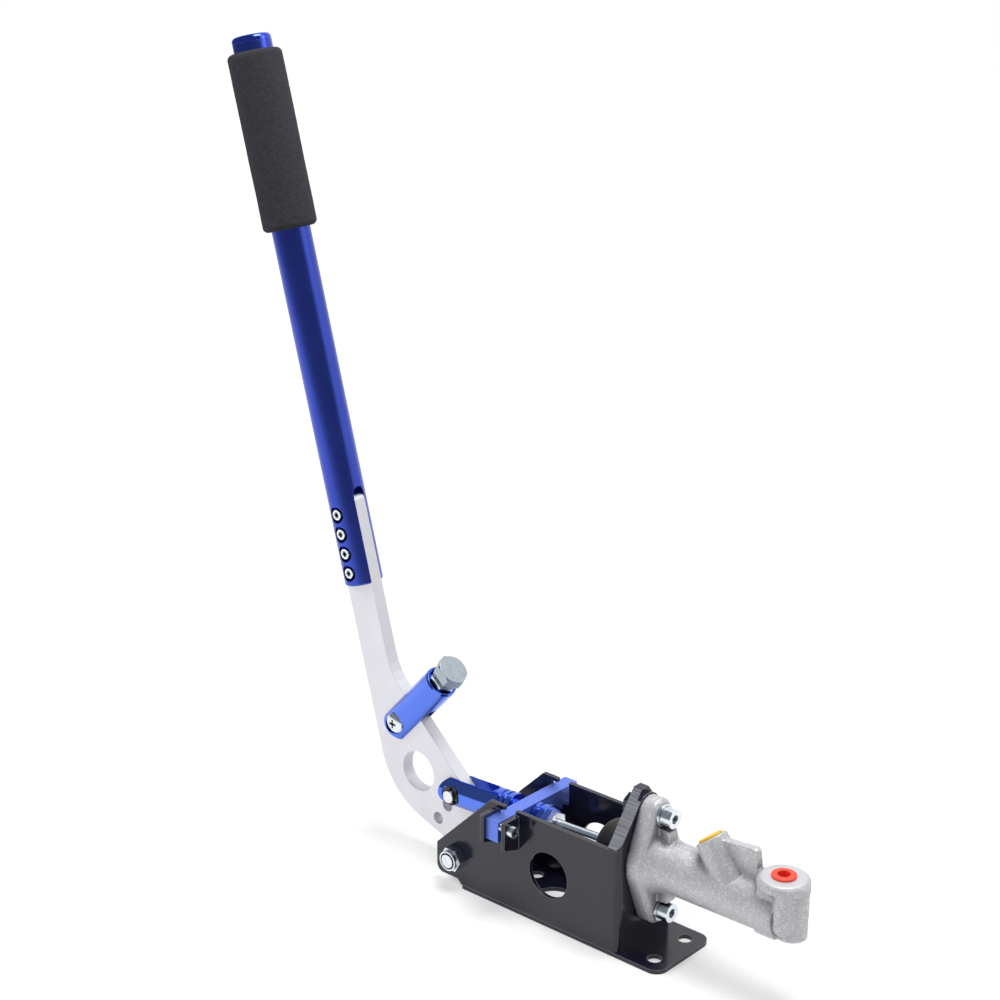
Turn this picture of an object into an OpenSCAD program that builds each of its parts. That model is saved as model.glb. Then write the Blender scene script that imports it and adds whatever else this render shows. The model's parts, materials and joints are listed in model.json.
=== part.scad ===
// Upright hydraulic hand brake: a lever on a folded bracket pushes the rod of its own master cylinder.
// Millimetres. +X runs from the lever to the cylinder, +Z up, y = 0 is the middle plane.
// The origin is on the mounting face, below the outside of the front wall.

/* [Bracket] */
// Width across the outside of the two cheeks
bracket_w = 60; // [56:1:70]
// Thickness of the folded sheet and of the base plate
sheet_t = 3; // [2.5:0.5:4]
// Height of the top edge of the cheeks
cheek_h = 78.5; // [77:0.5:84]
// Length of the top edge of the cheeks behind the front wall
cheek_top_len = 114; // [112:1:118]
// Height at which the sloping rear edge of the cheeks ends
ear_top = 29; // [26:1:34]
// Width of the pivot ear of the cheeks behind the pivot
ear_back = 19; // [16:1:24]
// Height of the lower edge of the pivot ears
ear_low = 6.5; // [5:0.5:9]
// Length of the base plate behind the front wall
base_back = 141; // [136:1:142]
// Reach of the mounting flange in front of the front wall
flange_reach = 34.7; // [32:0.1:45]
// Radius of the corners of the mounting flange
flange_r = 9; // [4:0.5:12]
// Outside radius of the upright bends
bend_r = 4.5; // [4:0.5:6]
// Thickness of the backing plate behind the front wall
backing_t = 6.8; // [4:0.2:10]

/* [Bracket holes] */
// Diameter of the mounting holes
mount_d = 10; // [8:0.5:12]
// Distance across between mounting holes
mount_gap = 34; // [28:1:40]
// Distance of the front mounting holes in front of the wall
mount_front = 21.5; // [20:0.5:24]
// Distance of the rear mounting holes behind the wall
mount_rear = 110; // [104:1:116]
// Diameter of the drain hole in the base plate
drain_d = 28.5; // [20:0.5:32]
// Distance of the drain hole behind the wall
drain_back = 80; // [70:1:90]
// Diameter of the large hole in each cheek
cheek_hole_d = 33.5; // [24:0.5:38]
// Distance of the large cheek hole behind the wall
cheek_hole_back = 60.7; // [56:0.1:64]
// Height of the large cheek hole
cheek_hole_h = 40; // [36:1:44]

/* [Stop bar] */
// Width of the stop bar along the bracket
bar_w = 11; // [9:0.5:12]
// Height of the stop bar
bar_h = 15.2; // [13:0.2:16]
// Length of the stop bar across the bracket
bar_len = 84.8; // [80:0.2:90]
// Height of the top of the stop bar
bar_top = 72.4; // [72:0.1:74]
// Distance of the rear face of the stop bar behind the wall
bar_back = 106.4; // [106:0.1:108]
// How far the bar tabs stand out from the cheeks
tab_reach = 15; // [13:0.5:18]
// Room between the stop bar and the front tab
bar_room = 5.2; // [4:0.1:6]

/* [Lever] */
// Distance of the pivot behind the wall
pivot_back = 145; // [143:1:147]
// Height of the pivot
pivot_h = 24; // [23:0.5:26]
// Thickness of the lever plate
plate_t = 10; // [8:0.5:12]
// Radius of the lever plate round the pivot
boss_r = 18.5; // [16:0.5:20.5]
// Width of the upright stem of the lever plate
stem_w = 26; // [22:0.5:27]
// Backward lean of the handle from upright, degrees
lean = 15.1; // [10:0.1:20]
// Distance of the foot of the handle behind the pivot
foot_behind = 118; // [115:0.1:125]
// Height of the foot of the handle above the pivot
foot_above = 169; // [160:1:180]
// Fall of the upper edge of the lever arm, degrees
arm_top_fall = 42.9; // [40:0.1:46]
// Fall of the lower edge of the lever arm, degrees
arm_low_fall = 19.5; // [16:0.1:22]
// Diameter of the large hole in the lever plate
plate_hole_d = 30.5; // [20:0.5:34]
// Distance of the clevis pin behind the pivot
pin_behind = 23; // [22:0.5:24]
// Height of the clevis pin above the pivot
pin_above = 32.6; // [32:0.1:33]

/* [Handle] */
// Outside diameter of the handle tube
tube_d = 28; // [27:0.5:32]
// Bore of the handle tube above its solid foot
tube_bore = 22; // [18:0.5:23]
// Length of the handle tube without its cap
tube_len = 391; // [380:1:460]
// Length of the lever plate inside the handle
plate_in_tube = 65; // [62:1:72]
// Wall of the foam grip round the tube
grip_wall = 5.5; // [4.5:0.5:9]
// Length of the foam grip
grip_len = 125.5; // [110:0.5:140]
// Length of bare tube and cap above the grip
grip_below_top = 11; // [9:0.5:20]
// Height of the rim of the end cap
cap_h = 5; // [4:0.5:6]
// Distance between handle screws
handle_screw_pitch = 14.5; // [13:0.5:16]

/* [Push rod] */
// Diameter of the clevis
clevis_d = 24; // [23:0.2:25]
// Diameter of the waist of the clevis below the stop bar
clevis_waist_d = 16; // [14:0.2:16]
// Width of the clevis across the seats of its pin
clevis_seat = 21.2; // [20:0.2:22]
// Diameter of the clevis pin
pin_d = 9; // [8:0.5:9]
// Diameter of the push rod
rod_d = 8; // [6:0.5:8]
// Diameter of the ball at the end of the push rod
ball_d = 12; // [11:0.5:12]

/* [Master cylinder] */
// Height of the cylinder's axis
cyl_h = 64.8; // [64:0.1:66]
// Diameter of the piston
piston_d = 19; // [18:0.2:20]
// Outside diameter of the cylinder barrel
barrel_d = 35.2; // [33:0.2:36]
// Thickness of the mounting flange of the cylinder
cyl_flange_t = 12.5; // [10:0.5:14]
// Distance between the two cylinder bolts
cyl_bolt_gap = 69.8; // [66:0.2:72]
// Width of the cylinder flange across its middle
cyl_flange_w = 47.4; // [44:0.2:50]
// Distance of the outlet in front of the wall
outlet_x = 108; // [106:1:112]
// Diameter of the outlet boss at its top
outlet_d = 34.8; // [32:0.2:37]
// Height of the outlet boss above the axis
outlet_rise = 25.4; // [24:0.2:28]
// Diameter of the inlet boss
inlet_d = 22; // [20:0.5:24]
// Backward lean of the inlet boss from upright, degrees
inlet_lean = 38; // [34:1:42]

/* [Stop fork] */
// Diameter of the stop fork
fork_d = 24.6; // [24:0.2:26]
// Length of the stop fork beyond its screw
fork_len = 56; // [53:0.1:60]
// Rise of the stop fork, degrees
fork_rise = 47.5; // [44:0.5:52]
// Gap between the open end of the fork and the head of the stop bolt
bolt_out = 8.4; // [7:0.1:10]

/* [Hidden] */
$fn = 64;

// Room in a fit that turns or slides, in one that is tight, and between faces that only pass
run_gap = 0.05;
seat_gap = 0.02;
pass_gap = 0.3;

// Places in the middle plane, as [x, z]
pivot = [-pivot_back, pivot_h];
pin = pivot + [-pin_behind, pin_above];
foot = pivot + [-foot_behind, foot_above];
spare_pin_step = [-9, -13.2];
plate_hole = pivot + [-60.7, 37.4];
fork_at = pivot + [-78.8, 72.1];

// Folded frame
half_w = bracket_w / 2;
inner_w = bracket_w - 2 * sheet_t;
shoulder_h = cheek_h + 1.5;
wall_bolt_r = 12;
bolt_high = cyl_h + cyl_bolt_gap / 2;
bolt_low = cyl_h - cyl_bolt_gap / 2;
shoulder_to_bolt = norm([half_w, bolt_high - shoulder_h]);
wall_slope = atan((bolt_high - shoulder_h) / half_w) + asin(wall_bolt_r / shoulder_to_bolt);
wall_apex = shoulder_h + half_w * tan(wall_slope);
backing_back = sheet_t + backing_t;
backing_top = bolt_high + 15.1;
backing_tip = (wall_apex - backing_top) / tan(wall_slope);

// Stop bar, its tabs and its screws
bar_mid_x = -bar_back + bar_w / 2;
bar_bottom = bar_top - bar_h;
rear_tab_x = -bar_back - sheet_t;
front_tab_x = -bar_back + bar_w + bar_room;
tab_top = bar_top + 3;
tab_low = bar_bottom - 2.5;
tab_slant = 5.6;
far_tab_drop = 7.2;
bar_room_low = bar_bottom + 4;
lip_x = rear_tab_x + 8.6;
bar_screw_d = 5;
bar_screw_head_d = 8.5;
bar_screw_head_h = 5;
bar_screw_y = half_w + 9.5;
bar_screw_z = bar_top - 4;

// Pivot
pivot_bolt_d = 10;
m10_af = 16;
m10_head_h = 6.4;
lock_nut_h = 10;
lock_collar_h = 3;
sleeve_d = 14;
spacer_d = 20;
bush_d = 18;
pivot_tail = 0.4;
lock_collar_bore = 12.4;
lock_collar_deep = 2;

// Handle
tube_r = tube_d / 2;
slot_w = plate_t + 2 * seat_gap;
slot_len = plate_in_tube + 6;
tube_solid = slot_len + 16;
foot_edge = 1.2;
handle_screw_first = 9.8;
handle_screw_count = 4;
handle_screw_d = 6;
handle_head_d = 10;
handle_head_h = 3.6;
handle_recess_d = 12;
handle_recess_y = tube_r - 4.2;
handle_screw_end = plate_t / 2 + 4;
grip_top = tube_len + cap_h - grip_below_top;
grip_d = tube_d + 2 * grip_wall;
grip_round = 0.72 * grip_wall;
cap_plug_len = 14;

// Stop fork
fork_r = fork_d / 2;
fork_slot = plate_t + 2 * run_gap;
fork_slot_len = 33;
fork_tail = 9.2;
fork_rim = 1.6;
fork_seat = 19;
fork_screw_d = 8;
fork_head_d = 15.5;
fork_seat_d = fork_head_d + 1;
fork_head_h = 4;
m8_af = 13;
m8_nut_h = 6.5;
m12_af = 18;
stop_bolt_d = 12;
stop_bolt_len = 28;
stop_head_af = 21;
stop_head_h = 8;
stop_nut_h = 7;
stop_nut_sunk = 3.5;
stop_pocket_d = m12_af / cos(30) + 0.6;

// Push rod, as lengths along it from the clevis pin
seat_x = 2;
seat = [seat_x, cyl_h];
rod_tilt = atan2(seat.y - pin.y, seat.x - pin.x);
rod_reach = norm(seat - pin);
rod_nut_af = 16;
clevis_slot = plate_t + 0.5;
clevis_slot_len = 37;
clevis_grooves = [42, 47, 77];
clevis_waist_from = 53;
clevis_waist_to = 74;
clevis_len = 84;
clevis_thread_from = 40;
groove_depth = 1.2;
groove_w = 2;
clip_y = clevis_seat / 2 + 0.2;
clip_t = 1.2;
clip_d = 14.5;
clip_groove_d = pin_d - 2;
pin_near_end = clevis_seat / 2 + 3.9;
clevis_seat_d = clip_d + 2;
pin_head_d = 13;
pin_head_t = 3;

// Master cylinder, as distances along its axis from the outside of the front wall
bore_d = piston_d + 2 * run_gap;
spigot_d = 30;
spigot_len = backing_back + 6.2;
bore_end = 104;
cyl_bolt_d = 8;
cyl_bolt_hole_d = 8.4;
cyl_head_d = 13;
cyl_head_h = 8;
washer_d = 16;
washer_t = 1.6;
cyl_ear_r = 11;
piston_back = -4.5;
stop_washer_t = 1.2;
stop_washer_bore = 10.8;
stop_washer_from = piston_back - pass_gap - stop_washer_t;
ring_t = 1.2;
ring_w = 3;
ring_from = stop_washer_from - ring_t;
ring_groove_d = bore_d + 2;
cup_d = ball_d + 2.4;
rear_head_to = 12;
secondary_to = 16;
rear_land_to = 19;
front_head_from = 66;
front_head_to = 72;
primary_to = 77;
nose_to = 82;
neck_d = 12;
seal_core_d = 13;
nose_d = 8;
spring_wire = 1.8;
spring_mean_d = 13.2;
spring_turns = 4;
spring_steps = 16;
outlet_top = cyl_h + outlet_rise;
outlet_head_t = 7;
outlet_port_d = 12;
outlet_port_deep = 14;
nose_r = outlet_d / 2 - 5.1;
nose_x = outlet_x + 6.1;
nose_low = cyl_h - 15.7;
nose_edge = 2.2;
barrel_end = outlet_x + 1.6;
column_d = 13.6;
column_at = [outlet_x + 6.5, 9];
column_end = cyl_h - 3.3;
inlet_port_d = 12;
inlet_flare = 6;
inlet_cap_d = 16.5;
inlet_top = [51, cyl_h + 32.2];
inlet_len = 36;
inlet_hole_d = 5;
outlet_hole_d = 3;
web_t = 6;
gusset_t = 9;
gusset_reach = 9;
ridge_t = 3;
boot_d = 37;
boot_len = 25.5;
boot_wall = 2.6;
boot_mouth_drop = 1.6;
boot_mouth_d = 10.4;

// Colours
satin_black = "#2b2c31";
anodised_blue = "#2b3fa8";
bar_blue = "#6a83dc";
blasted_alloy = "#dedee4";
cast_alloy = "#b9b8ba";
zinc = "#d5dbe2";
foam_black = "#3a3a40";
rubber_black = "#1c1c1f";
spring_steel = "#55534f";
bronze = "#a8834b";

// Geometry helpers
function unit(a) = [cos(a), sin(a)];

function toward(from, to) = ([to.x, to.y] - [from.x, from.y]) / norm([to.x, to.y] - [from.x, from.y]);

// Point where a line through p at angle a meets a line through q at angle b
function meet(p, a, q, b) =
    let (d = unit(a), e = unit(b), w = q - p)
    p + d * (w.x * e.y - w.y * e.x) / (d.x * e.y - d.y * e.x);

// Arc that rounds the corner [x, y, radius] between its two neighbours
function corner_arc(before, at, after) =
    at[2] <= 0 ? [[at.x, at.y]] :
    let (
        a = toward(at, before),
        b = toward(at, after),
        half = acos(a * b) / 2,
        centre = [at.x, at.y] + (a + b) / norm(a + b) * at[2] / sin(half),
        from = [at.x, at.y] + a * at[2] / tan(half) - centre,
        to = [at.x, at.y] + b * at[2] / tan(half) - centre,
        first = atan2(from.y, from.x),
        turn = (atan2(to.y, to.x) - first + 540) % 360 - 180,
        steps = max(3, ceil(abs(turn) / 9))
    )
    [for (i = [0:steps]) centre + at[2] * unit(first + turn * i / steps)];

// Closed outline from corners given as [x, y, radius]
function rounded(c) =
    [for (i = [0:len(c) - 1]) each corner_arc(c[(i + len(c) - 1) % len(c)], c[i], c[(i + 1) % len(c)])];

// Outline in the middle plane given thickness t to both sides
module upright(t) rotate([90, 0, 0]) translate([0, 0, -t / 2]) linear_extrude(t) children();

// Outline as seen from the front, from x0 forward by t
module facing(x0, t) translate([x0, 0, 0]) rotate([90, 0, 90]) linear_extrude(t) children();

// Rod across the bracket from y0 to y1 at a place [x, z]
module across(at, d, y0, y1)
    translate([at.x, y0, at.y]) rotate([-90, 0, 0]) cylinder(d = d, h = y1 - y0);

// Rod along the bracket from x0 to x1 at height z
module along(z, d, x0, x1, y = 0)
    translate([x0, y, z]) rotate([0, 90, 0]) cylinder(d = d, h = x1 - x0);

// Profile of [radius, distance] turned about the axis of the master cylinder
module turned(profile) translate([0, 0, cyl_h]) rotate([0, 90, 0]) rotate_extrude() polygon(profile);

// Far side as drawn and near side as its mirror image
module both_sides() for (flip = [0, 1]) mirror([0, flip, 0]) children();

// Hexagon prism across its flats, standing on z = 0
module hexagon(af, h) cylinder(d = af / cos(30), h = h, $fn = 6);

// Own axes of the handle, the push rod and the stop fork, each along +Z
module on_handle() translate([foot.x, 0, foot.y]) rotate([0, -lean, 0]) children();

module on_rod() translate([pin.x, 0, pin.y]) rotate([0, 90 - rod_tilt, 0]) children();

module on_fork() translate([fork_at.x, 0, fork_at.y]) rotate([0, 90 - fork_rise, 0]) children();

// Bracket
module base_plate() color(satin_black) difference() {
    linear_extrude(sheet_t) polygon(rounded([
        [-base_back, -half_w, 2], [flange_reach, -half_w, flange_r],
        [flange_reach, half_w, flange_r], [-base_back, half_w, 2]]));
    for (x = [mount_front, -mount_rear], y = [-mount_gap / 2, mount_gap / 2])
        translate([x, y, -1]) cylinder(d = mount_d, h = sheet_t + 2);
    translate([-drain_back, 0, -1]) cylinder(d = drain_d, h = sheet_t + 2);
}

// Front outline of the front wall and of the backing plate, which end in other tips above the shoulders
module wall_outline(low, side, tip) polygon(rounded(concat([[-half_w, shoulder_h, 0]], tip, [
    [half_w, shoulder_h, 0], [half_w, cheek_h + 0.5, 0], [side, cheek_h + 0.5, 0], [side, low, 0],
    [-side, low, 0], [-side, cheek_h + 0.5, 0], [-half_w, cheek_h + 0.5, 0]])));

module cheek_outline() polygon(rounded([
    [-pivot_back - ear_back, ear_top, 2], [-cheek_top_len, cheek_h, 1], [0, cheek_h, 0],
    [0, sheet_t, 0], [-base_back, sheet_t, 0], [-base_back - 3, ear_low, 1.5],
    [-pivot_back - ear_back, ear_low, 6]]));

module folded_plan() polygon(rounded([
    [-pivot_back - ear_back - 1, -half_w, 0], [0, -half_w, bend_r], [0, half_w, bend_r],
    [-pivot_back - ear_back - 1, half_w, 0], [-pivot_back - ear_back - 1, half_w - sheet_t, 0],
    [-sheet_t, half_w - sheet_t, bend_r - sheet_t], [-sheet_t, sheet_t - half_w, bend_r - sheet_t],
    [-pivot_back - ear_back - 1, sheet_t - half_w, 0]]));

// Gap in the top of each cheek: the bar slides in from the side, under the lip
module bar_notch() {
    translate([-bar_back, half_w - sheet_t - 1, bar_bottom])
        cube([bar_w, sheet_t + 2, tab_top - bar_bottom]);
    translate([-bar_back, half_w - sheet_t - 1, bar_room_low])
        cube([front_tab_x + bar_back, sheet_t + 2, tab_top - bar_room_low]);
    translate([lip_x, half_w - sheet_t - 1, bar_top])
        cube([front_tab_x - lip_x, sheet_t + 2, cheek_h - bar_top + 1]);
}

// Tab folded out of the far cheek, its top lowered by drop and its lower edge slanted
module bar_tab(x, drop) facing(x, sheet_t) polygon([
    [half_w - sheet_t, tab_low - tab_slant], [half_w + tab_reach, tab_low],
    [half_w + tab_reach, tab_top - drop], [half_w - sheet_t, tab_top - drop]]);

// Places on the front tabs where the bar screws go through, the far one lower with its tab
module bar_screw_places() {
    translate([front_tab_x, -bar_screw_y, bar_screw_z]) children();
    translate([front_tab_x, bar_screw_y, bar_screw_z - far_tab_drop]) children();
}

module side_frame() color(satin_black) difference() {
    union() {
        intersection() {
            translate([0, 0, sheet_t]) linear_extrude(wall_apex) folded_plan();
            union() {
                upright(bracket_w) cheek_outline();
                facing(-sheet_t, sheet_t) wall_outline(sheet_t, half_w, [[0, wall_apex, wall_bolt_r]]);
            }
        }
        for (x = [rear_tab_x, front_tab_x]) {
            bar_tab(x, far_tab_drop);
            mirror([0, 1, 0]) bar_tab(x, 0);
        }
    }
    both_sides() bar_notch();
    across([-cheek_hole_back, cheek_hole_h], cheek_hole_d, -half_w - 1, half_w + 1);
    across(pivot, pivot_bolt_d + 2 * run_gap, -half_w - 1, half_w + 1);
    along(cyl_h, spigot_d + 2 * run_gap, -sheet_t - 1, 1);
    for (z = [bolt_low, bolt_high]) along(z, cyl_bolt_hole_d, -sheet_t - 1, 1);
    bar_screw_places() along(0, bar_screw_d + 2 * seat_gap, -1, sheet_t + 1);
}

module backing_plate() color(satin_black) difference() {
    facing(-backing_back, backing_t) wall_outline(sheet_t + 5, half_w - bend_r,
        [[-backing_tip, backing_top, 1], [backing_tip, backing_top, 1]]);
    along(cyl_h, spigot_d + 2 * run_gap, -backing_back - 1, 0);
    for (z = [bolt_low, bolt_high]) along(z, cyl_bolt_hole_d, -backing_back - 1, 0);
}

// Solid bar with a round saddle underneath, where the waist of the clevis passes
module stop_bar() color(bar_blue) difference() {
    translate([-bar_back, -bar_len / 2, bar_bottom]) cube([bar_w, bar_len, bar_h]);
    saddle_r = clevis_waist_d / 2 + 2;
    saddle_top = bar_top - 1.7;
    along(saddle_top - saddle_r, 2 * saddle_r, -bar_back - 1, -bar_back + bar_w + 1);
    translate([-bar_back - 1, -saddle_r, bar_bottom - 1])
        cube([bar_w + 2, 2 * saddle_r, saddle_top - saddle_r - bar_bottom + 1]);
}

// Cap screws that push the bar back against the rear tabs
module stop_bar_screws() color(zinc) bar_screw_places() difference() {
    union() {
        along(0, bar_screw_d, -bar_room, sheet_t + 1);
        along(0, bar_screw_head_d, sheet_t, sheet_t + bar_screw_head_h);
    }
    translate([sheet_t + bar_screw_head_h - 2.5, 0, 0]) rotate([0, 90, 0]) hexagon(4, 3);
}

// Pivot
module pivot_bolt() color(zinc) {
    across(pivot, pivot_bolt_d, -half_w - lock_nut_h - pivot_tail, half_w + 1);
    translate([pivot.x, half_w, pivot.y]) rotate([-90, 0, 0]) intersection() {
        hexagon(m10_af, m10_head_h);
        cylinder(d1 = m10_af + 14, d2 = m10_af - 0.5, h = m10_head_h + 0.5);
    }
}

// Lock nut with a round collar that holds the locking ring
module pivot_nut() color(zinc) difference() {
    translate([pivot.x, -half_w, pivot.y]) rotate([90, 0, 0]) {
        hexagon(m10_af, lock_nut_h - lock_collar_h);
        cylinder(d = m10_af - 1.4, h = lock_nut_h);
    }
    across(pivot, pivot_bolt_d + 2 * seat_gap, -half_w - lock_nut_h - 1, -half_w + 1);
    across(pivot, lock_collar_bore, -half_w - lock_nut_h - 1, -half_w - lock_nut_h + lock_collar_deep);
}

module pivot_sleeve() color(zinc) difference() {
    across(pivot, sleeve_d, -inner_w / 2, inner_w / 2);
    across(pivot, pivot_bolt_d + 2 * seat_gap, -half_w, half_w);
}

module pivot_spacers() color(zinc) both_sides() difference() {
    across(pivot, spacer_d, plate_t / 2 + pass_gap, inner_w / 2);
    across(pivot, sleeve_d + 2 * seat_gap, 0, half_w);
}

module pivot_bush() color(bronze) difference() {
    across(pivot, bush_d, -plate_t / 2, plate_t / 2);
    across(pivot, sleeve_d + 2 * run_gap, -plate_t, plate_t);
}

// Lever
module plate_outline() {
    stem_right = foot + stem_w / 2 * unit(lean);
    stem_left = foot - stem_w / 2 * unit(lean);
    up = plate_in_tube * unit(90 + lean);
    arm_top = pivot + boss_r * unit(90 - arm_top_fall);
    arm_low = pivot + boss_r * unit(-90 - arm_low_fall);
    inner_elbow = meet(stem_right, 90 + lean, arm_top, -arm_top_fall);
    outer_elbow = meet(stem_left, 90 + lean, arm_low, -arm_low_fall);
    boss_apex = meet(arm_top, -arm_top_fall, arm_low, -arm_low_fall);
    polygon(rounded([
        [stem_left.x + up.x, stem_left.y + up.y, 4], [stem_right.x + up.x, stem_right.y + up.y, 4],
        [inner_elbow.x, inner_elbow.y, 50], [boss_apex.x, boss_apex.y, boss_r],
        [outer_elbow.x, outer_elbow.y, 58]]));
}

module handle_screw_places() on_handle() for (i = [0:handle_screw_count - 1])
    translate([0, 0, handle_screw_first + i * handle_screw_pitch]) rotate([-90, 0, 0]) children();

module lever_plate() color(blasted_alloy) difference() {
    upright(plate_t) plate_outline();
    across(pivot, bush_d + 2 * seat_gap, -plate_t, plate_t);
    for (i = [0:2]) across(pin + i * spare_pin_step, pin_d + 2 * run_gap, -plate_t, plate_t);
    across(plate_hole, plate_hole_d, -plate_t, plate_t);
    across(fork_at, fork_screw_d + 2 * seat_gap, -plate_t, plate_t);
    handle_screw_places() translate([0, 0, -plate_t])
        cylinder(d = handle_screw_d + 2 * seat_gap, h = 2 * plate_t);
}

// Turned bar, bored from the top and slotted at the foot for the lever plate
module handle_tube() color(anodised_blue) difference() {
    on_handle() difference() {
        rotate_extrude() polygon([[0, 0], [tube_r - foot_edge, 0], [tube_r, foot_edge], [tube_r, tube_len],
            [0, tube_len]]);
        translate([0, 0, tube_solid]) cylinder(d = tube_bore, h = tube_len);
        translate([-tube_d, -slot_w / 2, -1]) cube([2 * tube_d, slot_w, slot_len - slot_w / 2 + 1]);
        translate([-tube_d, 0, slot_len - slot_w / 2]) rotate([0, 90, 0])
            cylinder(d = slot_w, h = 2 * tube_d);
    }
    handle_screw_places() {
        translate([0, 0, -tube_d]) cylinder(d = handle_screw_d + 2 * seat_gap, h = tube_d + handle_screw_end);
        translate([0, 0, -handle_recess_y - tube_d]) cylinder(d = handle_recess_d, h = tube_d);
    }
}

module handle_screws() color(zinc) handle_screw_places() {
    translate([0, 0, -handle_recess_y]) cylinder(d = handle_screw_d, h = handle_recess_y + handle_screw_end);
    translate([0, 0, -handle_recess_y - handle_head_h]) difference() {
        cylinder(d1 = handle_head_d - 2.4, d2 = handle_head_d, h = handle_head_h);
        for (turn = [0, 60, 120]) rotate([0, 0, turn]) translate([-2.4, -0.6, -1]) cube([4.8, 1.2, 2.8]);
    }
}

module end_cap() color(anodised_blue) on_handle() translate([0, 0, tube_len]) {
    rotate_extrude() polygon(concat([[0, 0]], rounded([
        [tube_r, 0, 0], [tube_r, cap_h, 3], [0, cap_h, 0]])));
    translate([0, 0, -cap_plug_len]) cylinder(d = tube_bore - 2 * seat_gap, h = cap_plug_len);
}

module foam_grip() color(foam_black) on_handle() translate([0, 0, grip_top - grip_len])
    rotate_extrude() polygon(rounded([
        [tube_r + seat_gap, 0, 0], [grip_d / 2, 0, grip_round],
        [grip_d / 2, grip_len, grip_round], [tube_r + seat_gap, grip_len, 0]]));

// Adjustable stop: a round fork on the lever plate that carries a bolt with a jam nut
module stop_fork() color(anodised_blue) on_fork() difference() {
    rotate_extrude() polygon([[0, -fork_tail], [fork_r, -fork_tail], [fork_r, fork_len - fork_rim],
        [fork_r - fork_rim / 2, fork_len], [0, fork_len]]);
    translate([-fork_d, -fork_slot / 2, -2 * fork_d])
        cube([2 * fork_d, fork_slot, 2 * fork_d + fork_slot_len - fork_slot / 2]);
    translate([-fork_d, 0, fork_slot_len - fork_slot / 2]) rotate([0, 90, 0])
        cylinder(d = fork_slot, h = 2 * fork_d);
    translate([0, -fork_d, 0]) rotate([-90, 0, 0])
        cylinder(d = fork_screw_d + 2 * seat_gap, h = 2 * fork_d);
    both_sides() translate([0, fork_seat / 2, 0]) rotate([-90, 0, 0])
        cylinder(d = fork_seat_d, h = fork_d);
    translate([0, 0, fork_len - stop_nut_sunk]) cylinder(d = stop_pocket_d, h = fork_len);
    translate([0, 0, fork_slot_len - fork_slot / 2]) cylinder(d = stop_bolt_d + 2 * seat_gap, h = fork_len);
}

module stop_fork_screw() color(zinc) difference() {
    union() {
        across(fork_at, fork_screw_d, -fork_seat / 2 - 1, fork_seat / 2 + m8_nut_h + 1);
        translate([fork_at.x, -fork_seat / 2, fork_at.y]) rotate([90, 0, 0])
            cylinder(d1 = fork_head_d, d2 = fork_head_d - 4, h = fork_head_h);
    }
    for (turn = [0, 90]) translate([fork_at.x, -fork_seat / 2 - fork_head_h, fork_at.y])
        rotate([0, turn + 20, 0]) cube([6, 4.4, 1.5], center = true);
}

module stop_fork_nut() color(zinc) translate([fork_at.x, fork_seat / 2, fork_at.y]) rotate([-90, 0, 0])
    difference() {
        hexagon(m8_af, m8_nut_h);
        translate([0, 0, -1]) cylinder(d = fork_screw_d + 2 * seat_gap, h = m8_nut_h + 2);
    }

module stop_bolt() color(zinc) on_fork() translate([0, 0, fork_len + bolt_out]) {
    translate([0, 0, -stop_bolt_len]) cylinder(d = stop_bolt_d, h = stop_bolt_len + 1);
    intersection() {
        hexagon(stop_head_af, stop_head_h);
        cylinder(d1 = stop_head_af + 16, d2 = stop_head_af - 0.5, h = stop_head_h + 0.5);
    }
}

module stop_jam_nut() color(zinc) on_fork() translate([0, 0, fork_len - stop_nut_sunk]) difference() {
    hexagon(m12_af, stop_nut_h);
    translate([0, 0, -1]) cylinder(d = stop_bolt_d + 2 * seat_gap, h = stop_nut_h + 2);
}

// Push rod
module clevis() color(anodised_blue) on_rod() difference() {
    clevis_r = clevis_d / 2;
    union() {
        intersection() {
            translate([0, 0, -clevis_r]) cylinder(d = clevis_d, h = clevis_waist_from + clevis_r);
            union() {
                translate([-clevis_r, -clevis_r, 0]) cube([clevis_d, clevis_d, clevis_len]);
                translate([0, -clevis_r, 0]) rotate([-90, 0, 0]) cylinder(d = clevis_d, h = clevis_d);
            }
        }
        cylinder(d = clevis_waist_d, h = clevis_len - 1);
        translate([0, 0, clevis_waist_to]) cylinder(d = clevis_d, h = clevis_len - clevis_waist_to);
    }
    translate([-clevis_d, -clevis_slot / 2, -clevis_d])
        cube([2 * clevis_d, clevis_slot, clevis_d + clevis_slot_len - clevis_slot / 2]);
    translate([-clevis_d, 0, clevis_slot_len - clevis_slot / 2]) rotate([0, 90, 0])
        cylinder(d = clevis_slot, h = 2 * clevis_d);
    translate([0, -clevis_d, 0]) rotate([-90, 0, 0]) cylinder(d = pin_d + 2 * seat_gap, h = 2 * clevis_d);
    both_sides() translate([0, clevis_seat / 2, 0]) rotate([-90, 0, 0])
        cylinder(d = clevis_seat_d, h = clevis_d);
    translate([0, 0, clevis_thread_from]) cylinder(d = rod_d + 2 * seat_gap, h = clevis_len);
    for (s = clevis_grooves) translate([0, 0, s])
        rotate_extrude() translate([clevis_r - groove_depth, 0]) square([clevis_d, groove_w]);
}

module clevis_pin() color(zinc) difference() {
    union() {
        across(pin, pin_d, -pin_near_end, clevis_seat / 2 + 1);
        across(pin, pin_head_d, clevis_seat / 2, clevis_seat / 2 + pin_head_t);
    }
    translate([pin.x, -clip_y, pin.y]) rotate([90, 0, 0]) difference() {
        cylinder(d = pin_d + 2, h = clip_t);
        translate([0, 0, -1]) cylinder(d = clip_groove_d, h = clip_t + 2);
    }
}

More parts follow.
